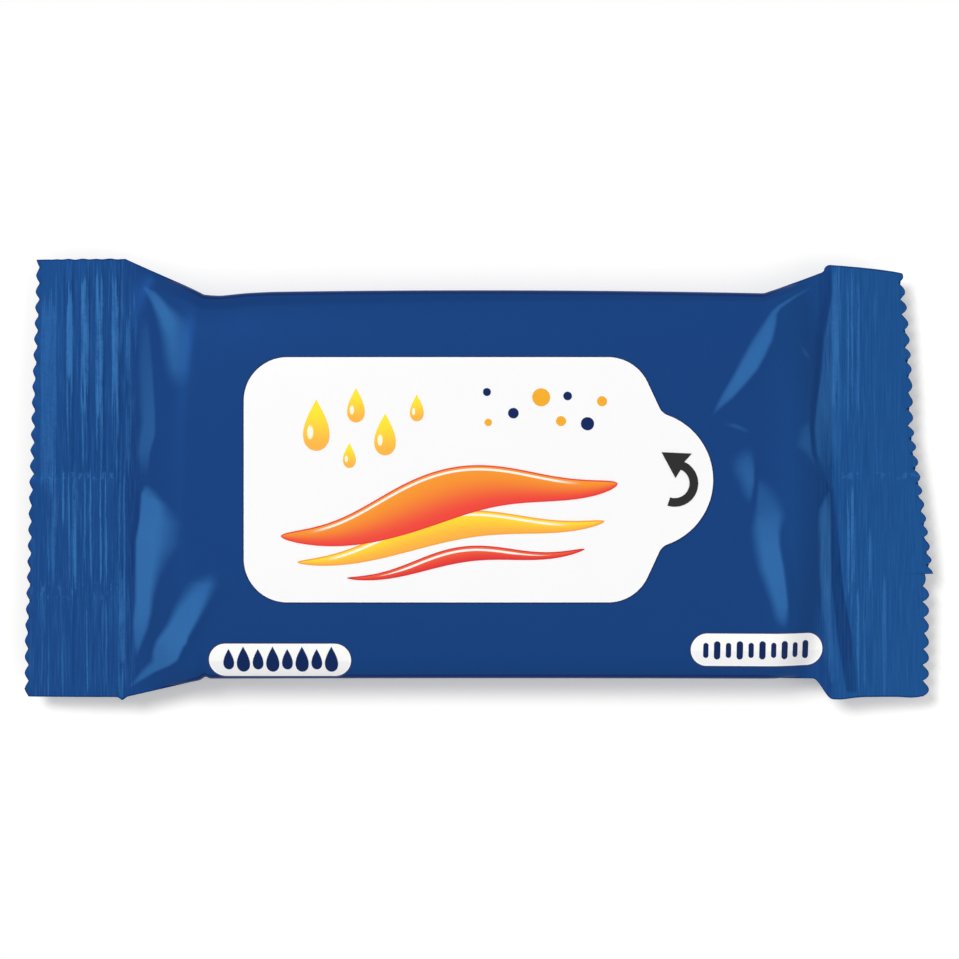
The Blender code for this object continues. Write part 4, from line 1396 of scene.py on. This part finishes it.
def buildRow(name, motifMesh, spots, surface, material):
    # spots are X, Y and size
    motif = bpy.data.objects.new(name + "Motif", motifMesh)
    mesh = bpy.data.meshes.new(name)
    mesh.from_pydata([(x * mm, y * mm, 0.0) for x, y, _ in spots], [], [])
    floatAttribute(mesh, "motifSize", [size for _, _, size in spots])
    piece = newPiece(name, mesh)
    addTree(piece, scatterTree, motif=motif, material=material)
    layOn(piece, surface, material)
    bpy.data.objects.remove(motif)
    return piece


def inRow(start, gap, y, sizes, count):
    return [(start + gap * i, y, sizes[i % 2]) for i in range(count)]


capsuleRows = [
    buildRow("leftCapsuleDrops", dropMesh("dropShape", 0.3), inRow(-38.0, 2.23, -27.5, (2.2, 2.7), 8),
             capsulePieces[0], inks["navyInk"]),
    buildRow("rightCapsuleBars", flatSheet("barShape", capsuleOutline(1.0, 0.34, tilt=90.0), 0.3),
             inRow(34.4, 1.72, -26.15, (2.3, 2.8), 10), capsulePieces[1], inks["navyInk"]),
]


def ribbonMesh(name, facts):
    # a wave that swells and thins along its length
    along, across = np.linspace(0, 1, 181), np.linspace(0, 1, 13)
    x = mix(facts["start"], facts["end"], along)
    angle = 2 * np.pi * (facts["turns"] * along + facts["phase"])
    middle = facts["level"] + facts["slope"] * (along - 0.5) + facts["swing"] * np.sin(angle)
    swell = 1 + facts["swell"] * np.sin(angle + facts["swellPhase"])
    half = facts["width"] / 2 * np.sin(np.pi * along) ** 0.55 * swell
    slant = np.arctan(np.gradient(middle, x))[:, None]
    side = half[:, None] * (1 - 2 * across)
    px, py = x[:, None] - side * np.sin(slant), middle[:, None] + side * np.cos(slant)
    places = np.stack([px, py, np.zeros(px.shape)], axis=-1).reshape(-1, 3)
    rows, columns = px.shape
    starts = [i * columns + j for i in range(rows - 1) for j in range(columns - 1)]
    mesh = bpy.data.meshes.new(name)
    mesh.from_pydata((places * mm).tolist(), [], [(a, a + 1, a + columns + 1, a + columns) for a in starts])
    floatAttribute(mesh, "acrossShare", across + 0 * px)
    floatAttribute(mesh, "alongShare", along[:, None] + 0 * px)
    floatAttribute(mesh, "fromEdge", half[:, None] * (1 - np.abs(1 - 2 * across)))
    return turnOutwards(mesh, sheet=True)


waves = {
    "amberWave": {
        "ink": "amberInk", "layer": "first", "start": -27.5, "end": 19.0, "level": -8.6, "slope": 6.5,
        "swing": 1.3, "turns": 1.2, "phase": 0.62, "width": 3.6, "swell": 0.22, "swellPhase": 0.6},
    "emberWave": {
        "ink": "emberInk", "layer": "second", "start": -30.0, "end": 21.0, "level": -3.8, "slope": 9.0,
        "swing": 1.6, "turns": 1.25, "phase": 0.55, "width": 6.4, "swell": 0.2, "swellPhase": 0.9},
    "coralWave": {
        "ink": "coralInk", "layer": "first", "start": -20.0, "end": 16.0, "level": -12.4, "slope": 4.4,
        "swing": 0.9, "turns": 1.3, "phase": 0.6, "width": 2.0, "swell": 0.2, "swellPhase": 0.4},
}
wavePieces = [
    layOn(newPiece(name, ribbonMesh(name, facts)), resealLabel, inks[facts["ink"]], facts["layer"])
    for name, facts in waves.items()
]
dropSpots = [(-24.6, 8.0, 5.4), (-18.6, 11.0, 3.6), (-14.2, 6.6, 4.4), (-19.6, 3.4, 2.6), (-9.4, 10.6, 2.8)]
navySpots = [(5.2, 9.8, 1.6), (13.4, 12.4, 1.3), (16.4, 8.2, 2.0), (1.2, 13.0, 1.2)]
amberSpots = [(9.4, 12.2, 2.7), (12.4, 8.6, 1.5), (18.6, 11.6, 1.5), (1.4, 8.4, 1.1)]
labelMotifs = [
    buildRow("labelDrops", dropMesh("sunDropShape", 0.15), dropSpots, resealLabel, inks["sunDropInk"]),
    buildRow("navyBubbles", roundMesh("navyBubble"), navySpots, resealLabel, inks["navyInk"]),
    buildRow("amberBubbles", roundMesh("amberBubble"), amberSpots, resealLabel, inks["amberDotInk"]),
]


# Peel arrow on the tab: a hook that turns back to the left

arrow = {"centre": (29.6, -0.8), "outer": 3.55, "inner": 2.25, "from": -108.0, "to": 66.0,
         "tip": (27.6, 3.9), "head": ((32.2, 3.7), (29.7, 0.0)), "border": 0.16, "cell": 0.6}


def arrowOutline():
    start, end = math.radians(arrow["from"]), math.radians(arrow["to"])
    outer = arcPoints(arrow["centre"], arrow["outer"], start, end, 6.0)
    inner = arcPoints(arrow["centre"], arrow["inner"], end, start, 6.0)
    return outer + [arrow["head"][0], arrow["tip"], arrow["head"][1]] + inner


def buildArrow(name, inset, material, layer):
    piece = newPiece(name, flatSheet(name, arrowOutline(), arrow["cell"], inset))
    return layOn(piece, resealLabel, inks[material], layer)


arrowPieces = [
    buildArrow("peelArrowEdge", 0.0, "blackInk", "first"),
    buildArrow("peelArrowFace", arrow["border"], "charcoalInk", "second"),
]
print("print laid on film and label")


# What rides on what, and what it replaces

filmPieces = [filmWrapper, finStrip, labelRim] + capsulePieces + capsuleRows
labelPieces = [resealLabel] + wavePieces + labelMotifs + arrowPieces
for piece in filmPieces + labelPieces:
    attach(piece, "root")
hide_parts("film_pack")
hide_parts("reseal_label")


# Studio, in metres

studio = {
    "keyLamp": {"place": (-1.03, 0.82, 2.08), "size": 0.85, "power": 33.0},    # watts
    "fillLamp": {"place": (0.5, -0.25, 0.55), "size": 0.5, "power": 0.9},
    "worldLevel": 0.465,
    "floorHalf": 3.0,
    "floorHeight": -0.0001,
    "floorShade": (1.0, 0.992, 0.97, 1.0),
    "floorGlow": 0.15,
    "floorClear": (0.006, 0.035),    # from the pack's box outwards the floor turns plain white to the eye
}


def areaLamp(name, place, size, power):
    lamp = bpy.data.lights.new(name, "AREA")
    lamp.size = size
    lamp.energy = power
    made = newPiece(name, lamp)
    made.location = place
    made.rotation_euler = (-Vector(place)).to_track_quat("-Z", "Y").to_euler()
    made.visible_camera = False


def seenDirectly(tree):
    path = addNode(tree, "ShaderNodeLightPath").outputs
    seen = maths(tree, "MAXIMUM", path["Is Camera Ray"], path["Is Glossy Ray"])
    return maths(tree, "MAXIMUM", seen, path["Is Transmission Ray"])


def buildWorld():
    world = bpy.data.worlds.new("paleStudio")
    bpy.context.scene.world = world
    world.use_nodes = True
    tree = world.node_tree
    level = addNode(tree, "ShaderNodeMapRange", {0: seenDirectly(tree), 3: studio["worldLevel"], 4: 1.0})
    feed(tree, tree.nodes["Background"], {"Color": (1.0, 1.0, 1.0, 1.0), "Strength": level.outputs[0]})


def buildFloor():
    mesh = bpy.data.meshes.new("floor")
    half, z = studio["floorHalf"], studio["floorHeight"]
    corners = [(-half, -half, z), (half, -half, z), (half, half, z), (-half, half, z)]
    mesh.from_pydata(corners, [], [(0, 1, 2, 3)])
    made, tree, shader = startMaterial("paleFloor", 0.9, specular=0.0)
    feed(tree, shader, {"Base Color": studio["floorShade"]})
    seen = seenDirectly(tree)
    glow = addNode(tree, "ShaderNodeEmission", {"Strength": times(tree, seen, studio["floorGlow"])})
    lit = addNode(tree, "ShaderNodeAddShader", {0: shader.outputs[0], 1: glow.outputs[0]})
    # distance from the pack's box
    box = (pouch["length"] / 2 * mm, pouch["flatWidth"] / 2 * mm, 0.0)
    past = vectorMaths(tree, "SUBTRACT", vectorMaths(tree, "ABSOLUTE", objectPlace(tree)), box)
    gap = vectorMaths(tree, "LENGTH", vectorMaths(tree, "MAXIMUM", past, (0.0, 0.0, 0.0)), output="Value")
    start, end = studio["floorClear"]
    clear = addNode(tree, "ShaderNodeMapRange", {0: gap, 1: start, 2: end, 3: 0.0, 4: 1.0}).outputs[0]
    white = addNode(tree, "ShaderNodeEmission", {"Strength": 1.0}).outputs[0]
    shown = addNode(tree, "ShaderNodeMixShader", {0: times(tree, clear, seen), 1: lit.outputs[0], 2: white})
    feed(tree, tree.nodes["Material Output"], {"Surface": shown.outputs[0]})
    mesh.materials.append(made)
    newPiece("floor", mesh)


camera = {"place": (0.00008, -0.00023, 0.4149), "lens": 100.0, "sensor": 36.0}


def buildCamera():
    eye = bpy.data.cameras.new("photoCamera")
    eye.lens = camera["lens"]
    eye.sensor_width = camera["sensor"]
    eye.clip_start = 0.01
    made = newPiece("photoCamera", eye)
    made.location = camera["place"]
    bpy.context.scene.camera = made


buildWorld()
buildFloor()
for lampName in ("keyLamp", "fillLamp"):
    areaLamp(lampName, **studio[lampName])
buildCamera()
bpy.context.scene.view_settings.view_transform = "Standard"
print("studio ready")
